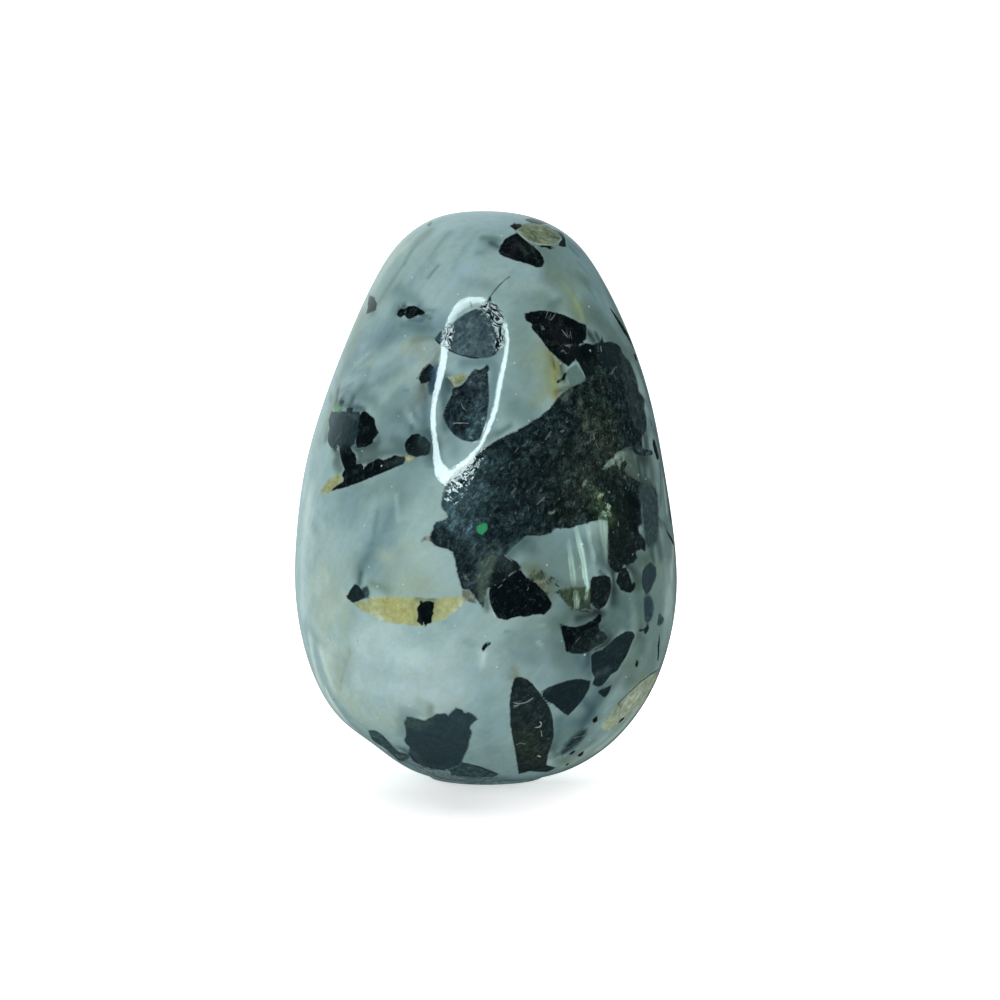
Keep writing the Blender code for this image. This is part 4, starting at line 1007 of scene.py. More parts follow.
# Crystals of the back with outlines of the front's: name, azimuth, height, turn in degrees, and size.
COPIES = (
    ("yellow_lens", 238, 40, 60, 0.9),
    ("foot_beige", 150, 53, 100, 0.8),
    ("great_patch", 172, 31, 150, 0.85),
    ("fan", 128, 44, 200, 1.1),
    ("tooth", 112, 30, 40, 1.2),
    ("black_polygon", 141, 15, 120, 1.0),
    ("leaning_slate", 116, 12, 80, 1.2),
    ("foot_blob", 206, 9, 190, 1.0),
    ("tall_lens", 232, 21, -50, 0.9),
    ("ring_upper", 214, 49, 100, 1.0),
    ("ring_lower", 252, 29, 160, 0.9),
    ("left_bar", 110, 20, 70, 1.0),
    ("triangle", 160, 11, 30, 1.0),
    ("wedge_black", 222, 33, 20, 1.0),
    ("crown_black", 186, 56, 130, 1.0),
    ("right_a", 250, 50, 10, 1.0),
    ("right_c", 130, 35, 10, 1.0),
    ("left_round", 256, 13, 0, 1.0),
    ("lens_corner", 196, 22, 0, 1.0),
    ("clear_triangle", 146, 42, 70, 1.0),
    ("crown_crescent", 240, 8, 60, 1.3),
)
# Veils of the back: colours, then width in millimetres and count, and what the rest is drawn from.
BACK_TONES = (
    (143, 171, 172), (118, 147, 148), (166, 190, 190), (96, 123, 123), (148, 166, 146), (128, 158, 163),
)
BACK_VEILS = ((2.2, 46), (0.45, 60))
BACK_VEIL_LEAN = (60.0, 25.0)  # degrees from level, their mean and spread
BACK_VEIL_REACH = (1.0, 3.5)  # mm, half a veil's length
BACK_VEIL_WIDTH = (0.6, 1.4)  # shares of the width
BACK_VEIL_STRENGTH = (0.4, 0.8)
# Small crystals of the back: kind, count, and size in millimetres.
BACK_BITS = (
    ("slate", 34, 0.45), ("ink", 26, 0.25), ("chip", 20, 0.25), ("ochre", 10, 0.6), ("rust", 8, 0.35),
)
BACK_BIT_CORNERS = 7
BACK_BIT_LENGTH = (0.5, 1.3)  # shares of the size


def add_object(name, data):
    """A new object in the scene."""
    made = bpy.data.objects.new(name, data)
    bpy.context.scene.collection.objects.link(made)
    return made


def focal_pixels():
    """The camera's focal length in pixels of the front view."""
    return CAMERA_DISTANCE / PIXEL


def camera_place():
    return AIM + CAMERA_DISTANCE * Vector((0.0, -math.cos(CAMERA_RISE), math.sin(CAMERA_RISE)))


def pixel_ray(pixel):
    """The direction in which the camera sees a pixel of the front view."""
    across = (pixel[0] - IMAGE_SIZE / 2) / focal_pixels()
    down = (pixel[1] - IMAGE_SIZE / 2) / focal_pixels()
    forward = (AIM - camera_place()).normalized()
    camera_up = Vector((0.0, math.sin(CAMERA_RISE), math.cos(CAMERA_RISE)))
    return (forward + across * Vector((1.0, 0.0, 0.0)) - down * camera_up).normalized()


def make_camera():
    data = bpy.data.cameras.new("camera")
    data.sensor_width = SENSOR
    data.lens = SENSOR * focal_pixels() / IMAGE_SIZE
    data.clip_start = CLIP_START
    camera = add_object("camera", data)
    camera.location = camera_place()
    camera.rotation_euler = (math.pi / 2 - CAMERA_RISE, 0.0, 0.0)
    bpy.context.scene.camera = camera


def natural_spline(knots, values, at):
    """Values at the places `at` of the smooth cubic curve through (knots, values), straight at its ends."""
    gaps = np.diff(knots)
    slopes = np.diff(values) / gaps
    count = len(knots)
    system = np.eye(count)
    wanted = np.zeros(count)
    for i in range(1, count - 1):
        system[i, i - 1 : i + 2] = gaps[i - 1], 2 * (gaps[i - 1] + gaps[i]), gaps[i]
        wanted[i] = 6 * (slopes[i] - slopes[i - 1])
    bends = np.linalg.solve(system, wanted)
    i = np.clip(np.searchsorted(knots, at) - 1, 0, count - 2)
    after = at - knots[i]
    before = knots[i + 1] - at
    return (
        (bends[i] * before**3 + bends[i + 1] * after**3) / (6 * gaps[i])
        + (values[i] / gaps[i] - bends[i] * gaps[i] / 6) * before
        + (values[i + 1] / gaps[i] - bends[i + 1] * gaps[i] / 6) * after
    )


def cad_levels():
    """The CAD stone's level rings from the foot up: height, left edge and right edge. Then its depth against
    its width."""
    corners = np.array([v.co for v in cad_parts[NODE].data.vertices])
    heights = np.unique(np.round(corners[:, 2], 5))
    rings = [corners[np.abs(corners[:, 2] - height) < SAME_LEVEL] for height in heights]
    levels = np.array([(ring[:, 2].mean(), ring[:, 0].min(), ring[:, 0].max()) for ring in rings])
    widest = rings[int(np.argmax(levels[:, 2] - levels[:, 1]))]
    depth_share = np.ptp(widest[:, 1]) / np.ptp(widest[:, 0])
    return levels, depth_share


def smooth_sides(levels):
    """ROWS level rings at even steps up the side, as rows of height, left edge and right edge."""
    above_foot = levels[1:-1]
    right = above_foot[:, [2, 0]]
    left = above_foot[::-1][:, [1, 0]]
    crown = np.array([[levels[-1, 1:].mean(), levels[-1, 0]]])
    points = np.concatenate([right, crown, left])
    knots = np.concatenate([[0], np.cumsum(np.hypot(*np.diff(points, axis=0).T))])
    at = np.linspace(0, knots[-1], OUTLINE_SAMPLES)
    outline = np.stack([natural_spline(knots, column, at) for column in points.T], axis=1)
    top = int(np.argmax(outline[:, 1]))
    right_side, left_side = outline[: top + 1], outline[top:][::-1]
    heights = np.linspace(above_foot[0, 0], outline[top, 1], OUTLINE_SAMPLES)
    lefts = np.interp(heights, left_side[:, 1], left_side[:, 0])
    rights = np.interp(heights, right_side[:, 1], right_side[:, 0])
    length = np.concatenate([[0], np.cumsum(np.hypot(np.diff(rights - lefts) / 2, np.diff(heights)))])
    rows = np.linspace(0, length[-1], ROWS + 1)[:-1]
    return np.stack([np.interp(rows, length, column) for column in (heights, lefts, rights)], axis=1)


def column_azimuths():
    """Azimuths of the fine mesh's columns: close together in front and wider apart behind."""
    front = np.linspace(-FRONT_REACH, FRONT_REACH, COLUMNS_FRONT + 1)
    back = np.linspace(FRONT_REACH, 2 * math.pi - FRONT_REACH, COLUMNS_BACK + 1)[1:-1]
    return np.concatenate([front, back])


def fine_points():
    """The fine mesh's points, row by row from the foot up, then the foot's middle and the crown. Then how
    many rows and columns there are."""
    levels, depth_share = cad_levels()
    foot = levels[:1]
    sides = np.concatenate([foot * [1, 0.5, 0.5], foot, smooth_sides(levels)])
    azimuths = column_azimuths()
    middle = (sides[:, 1] + sides[:, 2]) / 2
    half = SNUG * (sides[:, 2] - sides[:, 1]) / 2
    grid = np.empty((len(sides), len(azimuths), 3))
    grid[..., 0] = middle[:, None] + half[:, None] * np.sin(azimuths)
    grid[..., 1] = -half[:, None] * depth_share * np.cos(azimuths)
    grid[..., 2] = sides[:, :1]
    foot_middle = [0.0, 0.0, levels[0, 0]]
    crown = [levels[-1, 1:].mean(), 0.0, levels[-1, 0]]
    return np.concatenate([grid.reshape(-1, 3), [foot_middle, crown]]), len(sides), len(azimuths)


def fine_faces(rows, columns):
    """The fine mesh's faces, and their corners on a map with the same share for each row and column."""
    foot_index, crown_index = rows * columns, rows * columns + 1
    faces = []
    places = []
    for row in range(rows - 1):
        low, high = (row + 1) / (rows + 1), (row + 2) / (rows + 1)
        below, above = row * columns, (row + 1) * columns
        for column in range(columns):
            after = (column + 1) % columns
            faces.append((below + column, below + after, above + after, above + column))
            left, right = column / columns, (column + 1) / columns
            places += [(left, low), (right, low), (right, high), (left, high)]
    last = (rows - 1) * columns
    for column in range(columns):
        after = (column + 1) % columns
        left, right = column / columns, (column + 1) / columns
        faces.append((foot_index, after, column))
        places += [((left + right) / 2, 0.0), (right, 1 / (rows + 1)), (left, 1 / (rows + 1))]
        faces.append((last + column, last + after, crown_index))
        places += [(left, rows / (rows + 1)), (right, rows / (rows + 1)), ((left + right) / 2, 1.0)]
    return faces, places


def fine_mesh():
    """The stone's visible surface."""
    points, rows, columns = fine_points()
    faces, places = fine_faces(rows, columns)
    mesh = bpy.data.meshes.new("polished_stone")
    mesh.from_pydata(points.tolist(), [], faces)
    layer = mesh.uv_layers.new(name="OFBake")
    layer.uv.foreach_set("vector", np.array(places, np.float32).ravel())
    mesh.shade_smooth()
    mesh.set_sharp_from_angle(angle=SHARP_ANGLE)
    return mesh


Spot = namedtuple("Spot", "centre right up facing")


def depth_inside(outline, points):
    """How deep each flat point lies inside a closed outline, below zero outside it."""
    after = np.roll(outline, -1, axis=0)
    edge = after - outline
    reach = points[:, None] - outline
    along = np.clip((reach * edge).sum(axis=2) / (edge**2).sum(axis=1), 0, 1)
    gap = np.linalg.norm(reach - along[..., None] * edge, axis=2).min(axis=1)
    straddles = (outline[:, 1] > points[:, 1:]) != (after[:, 1] > points[:, 1:])
    rise = np.where(edge[:, 1] == 0, 1.0, edge[:, 1])
    crossing = outline[:, 0] + edge[:, 0] * (points[:, 1:] - outline[:, 1]) / rise
    inside = (straddles & (points[:, :1] < crossing)).sum(axis=1) % 2 == 1
    return np.where(inside, gap, -gap)


def drifting(points):
    """Smooth random values at points on the stone, mostly from -1 to 1."""
    wavering = random.Random(DRIFT_SEED)
    total = np.zeros(len(points))
    for _ in range(DRIFT_WAVES):
        direction = Vector([wavering.gauss(0, 1) for _ in range(3)]).normalized()
        length = wavering.uniform(*DRIFT_LENGTHS) * MM
        phase = wavering.uniform(0, 2 * math.pi)
        total += np.sin(points @ np.array(direction) * 2 * math.pi / length + phase)
    return total / math.sqrt(DRIFT_WAVES / 2) / DRIFT_PEAK


class Layer:
    """What the mesh's points hold of one layer of crystals."""

    def __init__(self, count):
        self.depth = np.full(count, FAR)
        self.soft = np.full(count, UNUSED_EDGE)
        self.ragged = np.zeros(count)
        self.grain = np.zeros(count)
        self.colour = np.tile(KINDS["slate"].colour, (count, 1))


class Stone:
    """The fine mesh's points, and the markings that are laid on them. Flat distances are in millimetres."""

    def __init__(self, mesh):
        self.mesh = mesh
        count = len(mesh.vertices)
        self.points = np.empty(count * 3, np.float32)
        self.facings = np.empty(count * 3, np.float32)
        mesh.vertices.foreach_get("co", self.points)
        mesh.vertex_normals.foreach_get("vector", self.facings)
        self.points = self.points.reshape(-1, 3).astype(float)
        self.facings = self.facings.reshape(-1, 3).astype(float)
        self.tree = BVHTree.FromPolygons(self.points.tolist(), [tuple(f.vertices) for f in mesh.polygons])
        self.layers = {name: Layer(count) for name in LAYERS}
        self.body = np.tile(BODY, (count, 1))
        self.drift = drifting(self.points)
        self.hair = np.tile((1.0, FAR, 0.0), (count, 1))
        self.cut = {name: (kind, *self.flat_outline(pixels)) for name, (kind, pixels) in CRYSTALS.items()}

    def seen(self, pixel):
        """The stone's point under a pixel of the front view. A pixel past the edge goes on round the side."""
        camera = camera_place()
        place = Vector(pixel)
        step = EDGE_STEP * (Vector(MIDDLE_PIXEL) - place).normalized()
        overshoot = 0
        hit = self.tree.ray_cast(camera, pixel_ray(place))
        while hit[0] is None:
            overshoot += EDGE_STEP
            place += step
            hit = self.tree.ray_cast(camera, pixel_ray(place))
        if overshoot:
            beyond = hit[0] + pixel_ray(place) * overshoot * PIXEL
            hit = self.tree.find_nearest(beyond)
        return hit[0]

    def mirrored(self, pixel, distance):
        """Where the camera's view of a pixel arrives, at some distance, once the polish has reflected it."""
        direction = pixel_ray(pixel)
        place, _, face, _ = self.tree.ray_cast(camera_place(), direction)
        corners = list(self.mesh.polygons[face].vertices)
        weights = poly_3d_calc([Vector(self.points[corner]) for corner in corners], place)
        facing = Vector(np.array(weights) @ self.facings[corners]).normalized()
        return place + distance * direction.reflect(facing)

    def spot(self, place):
        """A flat frame on the stone at its point nearest to a place."""
        nearest = self.tree.find_nearest(place)
        facing = np.array(nearest[1])
        across = np.cross((0.0, 0.0, 1.0), facing)
        if np.linalg.norm(across) < NEARLY_UPRIGHT:
            across = np.array((1.0, 0.0, 0.0))
        right = across / np.linalg.norm(across)
        return Spot(np.array(nearest[0]), right, np.cross(facing, right), facing)

    def spot_at(self, azimuth, height):
        """The flat frame at an azimuth in degrees from the front, and a height in millimetres."""
        turn = math.radians(azimuth)
        axis = Vector((0.0, 0.0, height * MM))
        outside = Vector((math.sin(turn), -math.cos(turn), 0.0)) * OUTSIDE + axis
        hit = self.tree.ray_cast(outside, axis - outside)
        return self.spot(hit[0])

    def flatten(self, points, spot):
        """Points of the stone flat round a spot, in millimetres. Their distances from the spot are kept."""
        away = (np.asarray(points) - spot.centre) / MM
        flat = np.stack([away @ spot.right, away @ spot.up], axis=1)
        stretch = np.linalg.norm(away, axis=1) / np.maximum(np.linalg.norm(flat, axis=1), 1e-6)
        return flat * stretch[:, None]

    def near(self, spot, reach):
        """Indices of the mesh's points within reach of a spot, on its side of the stone."""
        away = np.linalg.norm(self.points - spot.centre, axis=1) / MM
        return np.nonzero((away < reach) & (self.facings @ spot.facing > SAME_SIDE))[0]

    def flat_outline(self, pixels):
        """The spot in the middle of an outline in pixels, and the outline flat on it."""
        corners = np.array([self.seen(pixel) for pixel in pixels])
        spot = self.spot(Vector(corners.mean(axis=0)))
        return spot, self.flatten(corners, spot)

    def lay_crystal(self, kind_name, spot, outline):
        """Lays a crystal on its layer. Where two meet, the later one lies on top."""
        kind = KINDS[kind_name]
        layer = self.layers[kind.layer]
        reach = np.linalg.norm(outline, axis=1).max() + MARGIN + kind.soft
        at = self.near(spot, reach)
        depth = depth_inside(outline, self.flatten(self.points[at], spot))
        wins = (depth > layer.depth[at]) | (depth > 0)
        at, depth = at[wins], depth[wins]
        layer.depth[at] = np.maximum(depth, layer.depth[at])
        layer.soft[at] = kind.soft
        layer.ragged[at] = kind.ragged
        layer.grain[at] = kind.grain
        layer.colour[at] = kind.colour

    def lay_veil(self, colours, spot, ends, width, colour, strength):
        """Tints colours softly along the flat line between two ends, with a drifting edge."""
        start, end = ends
        at = self.near(spot, np.linalg.norm([start, end], axis=1).max() + VEIL_REACH * width)
        place = self.flatten(self.points[at], spot)
        line = end - start
        along = np.clip((place - start) @ line / max(line @ line, 1e-9), 0, 1)
        gap = np.linalg.norm(place - start - along[:, None] * line, axis=1)
        gap *= np.maximum(VEIL_TIGHTEST, 1 + VEIL_DRIFT * self.drift[at])
        share = (strength * np.exp(-((gap / width) ** 2)))[:, None]
        colours[at] += share * (np.array(colour) - colours[at])

    def lay_hairline(self, spot, route, half_width, tone):
        """Stores the signed distance from a thin line, which keeps it sharp between the mesh's points."""
        for start, end in zip(route, route[1:]):
            line = end - start
            length = np.linalg.norm(line)
            at = self.near(spot, np.linalg.norm([start, end], axis=1).max() + MARGIN)
            reach = self.flatten(self.points[at], spot) - start
            along = reach @ line / length
            aside = (reach[:, 0] * line[1] - reach[:, 1] * line[0]) / length
            past = np.maximum(-along, along - length)
            gap, rival = np.abs(aside), np.abs(self.hair[at, 0])
            there = (gap < HAIR_BAND) & (past < HAIR_END) & (gap < rival + HAIR_RIVAL)
            taper = np.clip(1 - np.maximum(past, 0) / HAIR_END, 0, 1) * (1 + HAIR_DIP) - HAIR_DIP
            width = np.where(gap < HAIR_CORE, half_width * taper, FAR)
            better = there & (width - gap > self.hair[at, 1] - rival)
            self.hair[at[better]] = np.stack([aside, width, np.full(len(at), tone)], axis=1)[better]

    def mark_front(self):
        """The markings that the front view shows."""
        for crystal in self.cut.values():
            self.lay_crystal(*crystal)
        dark, pale = self.layers["dark"].colour, self.layers["pale"].colour
        for veils, colours in ((BODY_VEILS, self.body), (CRYSTAL_VEILS, dark), (PALE_VEILS, pale)):
            for start, end, width, shade, strength in veils:
                spot, ends = self.flat_outline((start, end))
                self.lay_veil(colours, spot, ends, width * PIXEL / MM, srgb(*shade), strength)
        for half_width, tone, pixels in HAIRLINES:
            spot, route = self.flat_outline(pixels)
            self.lay_hairline(spot, route, half_width * PIXEL / MM, tone)

    def mark_back(self):
        """The same stone goes on round the sides and back."""
        rolling = random.Random(BACK_SEED)
        for width, count in BACK_VEILS:
            for _ in range(count):
                self.lay_back_veil(rolling, width)
        for name, azimuth, height, turn, size in COPIES:
            kind_name, _, outline = self.cut[name]
            across, up = math.cos(math.radians(turn)), math.sin(math.radians(turn))
            turned = size * outline @ ((across, up), (-up, across))
            self.lay_crystal(kind_name, self.spot_at(azimuth, height), turned)
        for kind_name, count, size in BACK_BITS:
            for _ in range(count):
                self.lay_back_bit(rolling, kind_name, size)

    def lay_back_veil(self, rolling, width):
        spot = self.back_spot(rolling)
        lean = math.radians(rolling.gauss(*BACK_VEIL_LEAN))
        end = np.array((math.cos(lean), math.sin(lean))) * rolling.uniform(*BACK_VEIL_REACH)
        colour = srgb(*rolling.choice(BACK_TONES))
        reach = width * rolling.uniform(*BACK_VEIL_WIDTH)
        self.lay_veil(self.body, spot, (-end, end), reach, colour, rolling.uniform(*BACK_VEIL_STRENGTH))

    def lay_back_bit(self, rolling, kind_name, size):
        spot = self.back_spot(rolling)
        angles = sorted(rolling.uniform(0, 2 * math.pi) for _ in range(BACK_BIT_CORNERS))
        corners = np.array([(math.cos(a), math.sin(a)) for a in angles])
        self.lay_crystal(kind_name, spot, corners * (size * rolling.uniform(*BACK_BIT_LENGTH), size))

    def back_spot(self, rolling):
        """A random spot on the back."""
        return self.spot_at(rolling.uniform(*BACK), rolling.uniform(*BACK_HEIGHTS))

    def keep_marks(self):
        """Writes the markings into the mesh, for the material."""
        for name, layer in self.layers.items():
            self.write(name + "_edge", np.stack([layer.depth, layer.soft, layer.ragged], axis=1))
            self.write(name + "_colour", layer.colour)
            self.write(name + "_grain", np.repeat(layer.grain[:, None], 3, axis=1))
        self.write("body_colour", self.body)
        self.write("hair", self.hair)

    def write(self, name, values):
        attribute = self.mesh.attributes.new(name, "FLOAT_VECTOR", "POINT")
        attribute.data.foreach_set("vector", values.astype(np.float32).ravel())


class Graph:
    """Makes and joins shader nodes. Each call gives the new node's output."""

    def __init__(self, tree):
        self.tree = tree

    def add(self, kind, inputs, output=0, **settings):
        node = self.tree.nodes.new("ShaderNode" + kind)
        for name, value in settings.items():
            setattr(node, name, value)
        for name, value in inputs.items():
            if isinstance(value, bpy.types.NodeSocket):
                self.tree.links.new(value, node.inputs[name])
            else:
                node.inputs[name].default_value = value
        return node.outputs[output]

    def math(self, operation, *values, clamp=False):
        return self.add("Math", dict(enumerate(values)), operation=operation, use_clamp=clamp)

    def times(self, *values):
        """The product of two or more values."""
        product = values[0]
        for value in values[1:]:
            product = self.math("MULTIPLY", product, value)
        return product

    def scaled(self, vector, scale):
        return self.add("Mapping", {"Vector": vector, "Scale": (scale, scale, scale)})

    def leaning(self, vector, lean, across, along):
        """Places in units of `across`, but of `along` in the direction `lean` degrees right of upright."""
        turned = {"Rotation": (0.0, math.radians(lean), 0.0), "Scale": (across, across, along)}
        return self.add("Mapping", {"Vector": vector, **turned}, vector_type="TEXTURE")

    def mix(self, share, below, above, blend="MIX"):
        return self.add("Mix", {0: share, 6: below, 7: above}, output=2, data_type="RGBA", blend_type=blend)

    def noise(self, place, scale, detail=2.0, roughness=0.5, distortion=0.0):
        """Smooth noise from about -1 to 1."""
        look = {"Scale": scale, "Detail": detail, "Roughness": roughness, "Distortion": distortion}
        found = self.add("TexNoise", {"Vector": place, **look})
        return self.add("MapRange", {"Value": found, 1: 0.25, 2: 0.75, 3: -1.0, 4: 1.0}, clamp=False)

    def step(self, value, none, full):
        """0 at `none` and before it, 1 at `full` and past it, and smooth between them."""
        ramp = {"Value": value, 1: none, 2: full, 3: 0.0, 4: 1.0}
        return self.add("MapRange", ramp, interpolation_type="SMOOTHSTEP")

    def vector(self, name):
        """A stored attribute."""
        return self.add("Attribute", {}, output=1, attribute_name=name)

    def parts(self, name):
        """The three numbers of a stored attribute."""
        split = self.tree.nodes.new("ShaderNodeSeparateXYZ")
        self.tree.links.new(self.vector(name), split.inputs[0])
        return split.outputs


def layer_share(g, name, wobble):
    """How much a layer of crystals covers, 0 to 1."""
    depth, soft, ragged = g.parts(name + "_edge")
    moved = g.math("MULTIPLY_ADD", ragged, wobble, depth)
    return g.math("ADD", g.math("DIVIDE", moved, soft), 0.5, clamp=True)


def shaded(g, colour, lightness):
    grey = g.add("CombineXYZ", {0: lightness, 1: lightness, 2: lightness})
    return g.mix(1.0, colour, grey, blend="MULTIPLY")


def grained(g, name, texture, glints):
    """A layer's colour with its grain: darker and lighter spots, and pale threads and painted glints."""
    grain = g.parts(name + "_grain")[0]
    lightness = g.math("POWER", GRAIN_CONTRAST, g.times(grain, texture))
    colour = shaded(g, g.vector(name + "_colour"), lightness)
    return g.mix(g.times(grain, glints, GLINT_SHARE), colour, GLINT_COLOUR)


Textures = namedtuple("Textures", "coarse fine mottle weave blades ripple lace")


def stone_textures(g, place):
    """The noises that the colour and the relief share, at places in millimetres."""
    return Textures(
        coarse=g.noise(place, 1.1, detail=3.0, roughness=0.6),
        fine=g.noise(place, 2.9, detail=2.0, roughness=0.6, distortion=1.2),
        mottle=g.noise(place, 1.5, detail=4.0, roughness=0.72),
        weave=g.noise(place, 1.9, detail=2.5, roughness=0.62, distortion=2.2),
        blades=g.noise(g.leaning(place, 35.0, 0.32, 0.85), 1.0, detail=2.0, roughness=0.6, distortion=0.8),
        ripple=g.noise(g.leaning(place, 30.0, 0.52, 0.95), 1.0, detail=0.5, distortion=1.0),
        lace=g.noise(g.leaning(place, -38.0, 0.54, 1.0), 1.0, detail=0.5, roughness=0.4, distortion=0.9),
    )


def body_colour(g, place, mottle):
    """Milky feldspar: drifting clouds, leaning streaks between warmer and cooler tones, and a few sparks."""
    clouds = g.noise(place, 0.16, detail=4.0, roughness=0.62, distortion=0.8)
    streaks = g.noise(g.leaning(place, 42.0, 1.5, 5.0), 1.0, detail=5.0, roughness=0.66, distortion=0.5)
    lightness = 1.0
    for texture, lighten in ((clouds, CLOUDS_LIGHTEN), (streaks, STREAKS_LIGHTEN), (mottle, MOTTLE_LIGHTENS)):
        lightness = g.math("MULTIPLY_ADD", texture, lighten, lightness)
    milk = shaded(g, g.vector("body_colour"), lightness)
    warm = g.mix(1.0, milk, WARM, blend="MULTIPLY")
    cool = g.mix(1.0, milk, COOL, blend="MULTIPLY")
    warmth = g.math("MULTIPLY_ADD", g.math("SUBTRACT", clouds, streaks), 0.5, 0.5, clamp=True)
    milk = g.mix(warmth, cool, warm)
    spark_distance = g.add("TexVoronoi", {"Vector": place, "Scale": 0.62}, feature="F1")
    spark_depth = g.math("MULTIPLY_ADD", mottle, 0.035, g.times(spark_distance, -1.0))
    return g.mix(g.times(g.step(spark_depth, -0.075, -0.04), SPARK_SHARE), milk, SPARK_COLOUR)


def crystal_grain(g, noises):
    """The grain of dark crystals and flecks: how light a place is, about -1 to 1, and its pale threads and
    painted glints.
    """
    threads = g.times(g.step(g.math("ABSOLUTE", noises.weave), 0.17, 0.03), g.step(noises.coarse, 0.0, 0.6))
    glints = g.math("MAXIMUM", threads, g.step(noises.fine, 0.75, 1.0))
    glints = g.math("MAXIMUM", glints, g.step(noises.blades, 0.62, 0.95))
    grit = g.math("MULTIPLY_ADD", noises.blades, 0.55, g.times(noises.mottle, 0.65))
    return grit, glints


def with_crystals(g, body, noises):
    """The body's colour with the three layers over it. Then how much the dark crystals and flecks cover."""
    wobble = g.math("MULTIPLY_ADD", noises.fine, 0.45, g.times(noises.coarse, 0.55))
    pale, dark, fleck = [layer_share(g, name, wobble) for name in LAYERS]
    grit, glints = crystal_grain(g, noises)
    colour = g.mix(pale, body, grained(g, "pale", g.times(noises.mottle, 0.8), 0.0))
    patches = g.math("MULTIPLY_ADD", noises.coarse, 0.14, 0.02, clamp=True)
    halo = g.times(g.step(g.parts("dark_edge")[0], *HALO_RAMP), patches)
    colour = g.mix(halo, colour, HALO_COLOUR)
    colour = g.mix(dark, colour, grained(g, "dark", grit, glints))
    colour = g.mix(fleck, colour, grained(g, "fleck", grit, glints))
    # Lace on the grainiest flecks: dark cracks, with painted highlight between them.
    laced = g.times(fleck, g.step(g.parts("fleck_grain")[0], *LACE_GRAIN))
    lace_cracks_and_painted_glint = g.mix(g.step(g.math("ABSOLUTE", noises.lace), 0.34, 0.52), *LACE_CRACKS_AND_PAINTED_GLINT)
    return g.mix(laced, colour, lace_cracks_and_painted_glint), dark, fleck


def with_hairlines(g, colour, coarse):
    """The colour with the thin lines over it."""
    offset, half_width, tone = g.parts("hair")
    ragged_width = g.math("MULTIPLY_ADD", coarse, 0.05, half_width)
    inside = g.math("SUBTRACT", ragged_width, g.math("ABSOLUTE", offset))
    hair = g.times(g.step(inside, -0.03, 0.05), HAIR_SHARE)
    return g.mix(hair, colour, g.mix(tone, *HAIR_COLOURS))


def polish_bump(g, noises, dark, fleck):
    """The polish's faint unevenness, which is stronger over grainy crystals and flecks."""
    grain = g.times(dark, g.parts("dark_grain")[0], RELIEF_GRAIN)
    flecked = g.times(fleck, g.parts("fleck_grain")[0], RELIEF_FLECK)
    relief = g.math("MULTIPLY_ADD", noises.coarse, RELIEF_WAVE, g.times(noises.mottle, RELIEF))
    relief = g.math("MULTIPLY_ADD", g.math("ADD", grain, RELIEF_RIPPLE), noises.ripple, relief)
    relief = g.math("MULTIPLY_ADD", flecked, noises.lace, relief)
    return g.add("Bump", {"Strength": 1.0, "Distance": 1.0, "Height": relief})


def stone_material():
    """Milky feldspar with crystals in it, polished."""
    material = bpy.data.materials.new("moonstone_polish")
    material.use_nodes = True
    tree = material.node_tree
    g = Graph(tree)
    place = g.scaled(g.add("TexCoord", {}, output=3), 1 / MM)
    noises = stone_textures(g, place)
    colour, dark, fleck = with_crystals(g, body_colour(g, place, noises.mottle), noises)
    inputs = tree.nodes["Principled BSDF"].inputs
    tree.links.new(with_hairlines(g, colour, noises.coarse), inputs["Base Color"])
    tree.links.new(polish_bump(g, noises, dark, fleck), inputs["Normal"])
    inputs["Roughness"].default_value = ROUGHNESS
    inputs["IOR"].default_value = REFRACTION
    inputs["Subsurface Weight"].default_value = CLEARNESS
    inputs["Subsurface Radius"].default_value = (1.0, 1.0, 1.0)
    inputs["Subsurface Scale"].default_value = CLEARNESS_DEPTH
    return material


def floor_material():
    """White that glows, but less in an oval in front of the stone: a painted soft shadow."""
    material = bpy.data.materials.new("floor_white_painted_shadow")
    material.use_nodes = True
    tree = material.node_tree
    g = Graph(tree)
    away = g.add("VectorMath", {0: g.add("TexCoord", {}, output=3), 1: PAINTED_SHADOW_PLACE}, operation="SUBTRACT")
    away = g.add("VectorMath", {0: away, 1: PAINTED_SHADOW_SIZE}, operation="DIVIDE")
    ovals = g.add("VectorMath", {0: away}, output=1, operation="LENGTH")
    low, high = PAINTED_SHADOW_RAMP
    glow = g.add("MapRange", {"Value": ovals, 1: low, 2: high, 3: FLOOR_GLOW_LEAST, 4: FLOOR_GLOW_MOST})
    seen = g.add("LightPath", {}, output=0)
    glow = g.times(glow, g.math("MULTIPLY_ADD", seen, 1 - FLOOR_BOUNCE, FLOOR_BOUNCE))
    inputs = tree.nodes["Principled BSDF"].inputs
    inputs["Base Color"].default_value = FLOOR_WHITE
    inputs["Roughness"].default_value = 1.0
    inputs["Emission Color"].default_value = WHITE
    tree.links.new(glow, inputs["Emission Strength"])
    return material


def make_floor():
    """A white floor that ends in white all round. It doesn't show in the polish."""
    low, high = -FLOOR_REACH, FLOOR_REACH
    mesh = bpy.data.meshes.new("floor")
    corners = [(low, low, 0.0), (high, low, 0.0), (high, high, 0.0), (low, high, 0.0)]
    mesh.from_pydata(corners, [], [(0, 1, 2, 3)])
    mesh.materials.append(floor_material())
    floor = add_object("floor", mesh)
    floor.visible_glossy = False


def lamp_material(name, colour, strength):
    """Light of one colour, dimmed by the share that the lamp's points hold."""
    material = bpy.data.materials.new(name)
    material.use_nodes = True
    tree = material.node_tree
    tree.nodes.clear()
    g = Graph(tree)
    glow = g.times(g.parts("share")[0], strength)
    output = tree.nodes.new("ShaderNodeOutputMaterial")
    tree.links.new(g.add("Emission", {"Color": (*colour, 1.0), "Strength": glow}), output.inputs["Surface"])
    return material


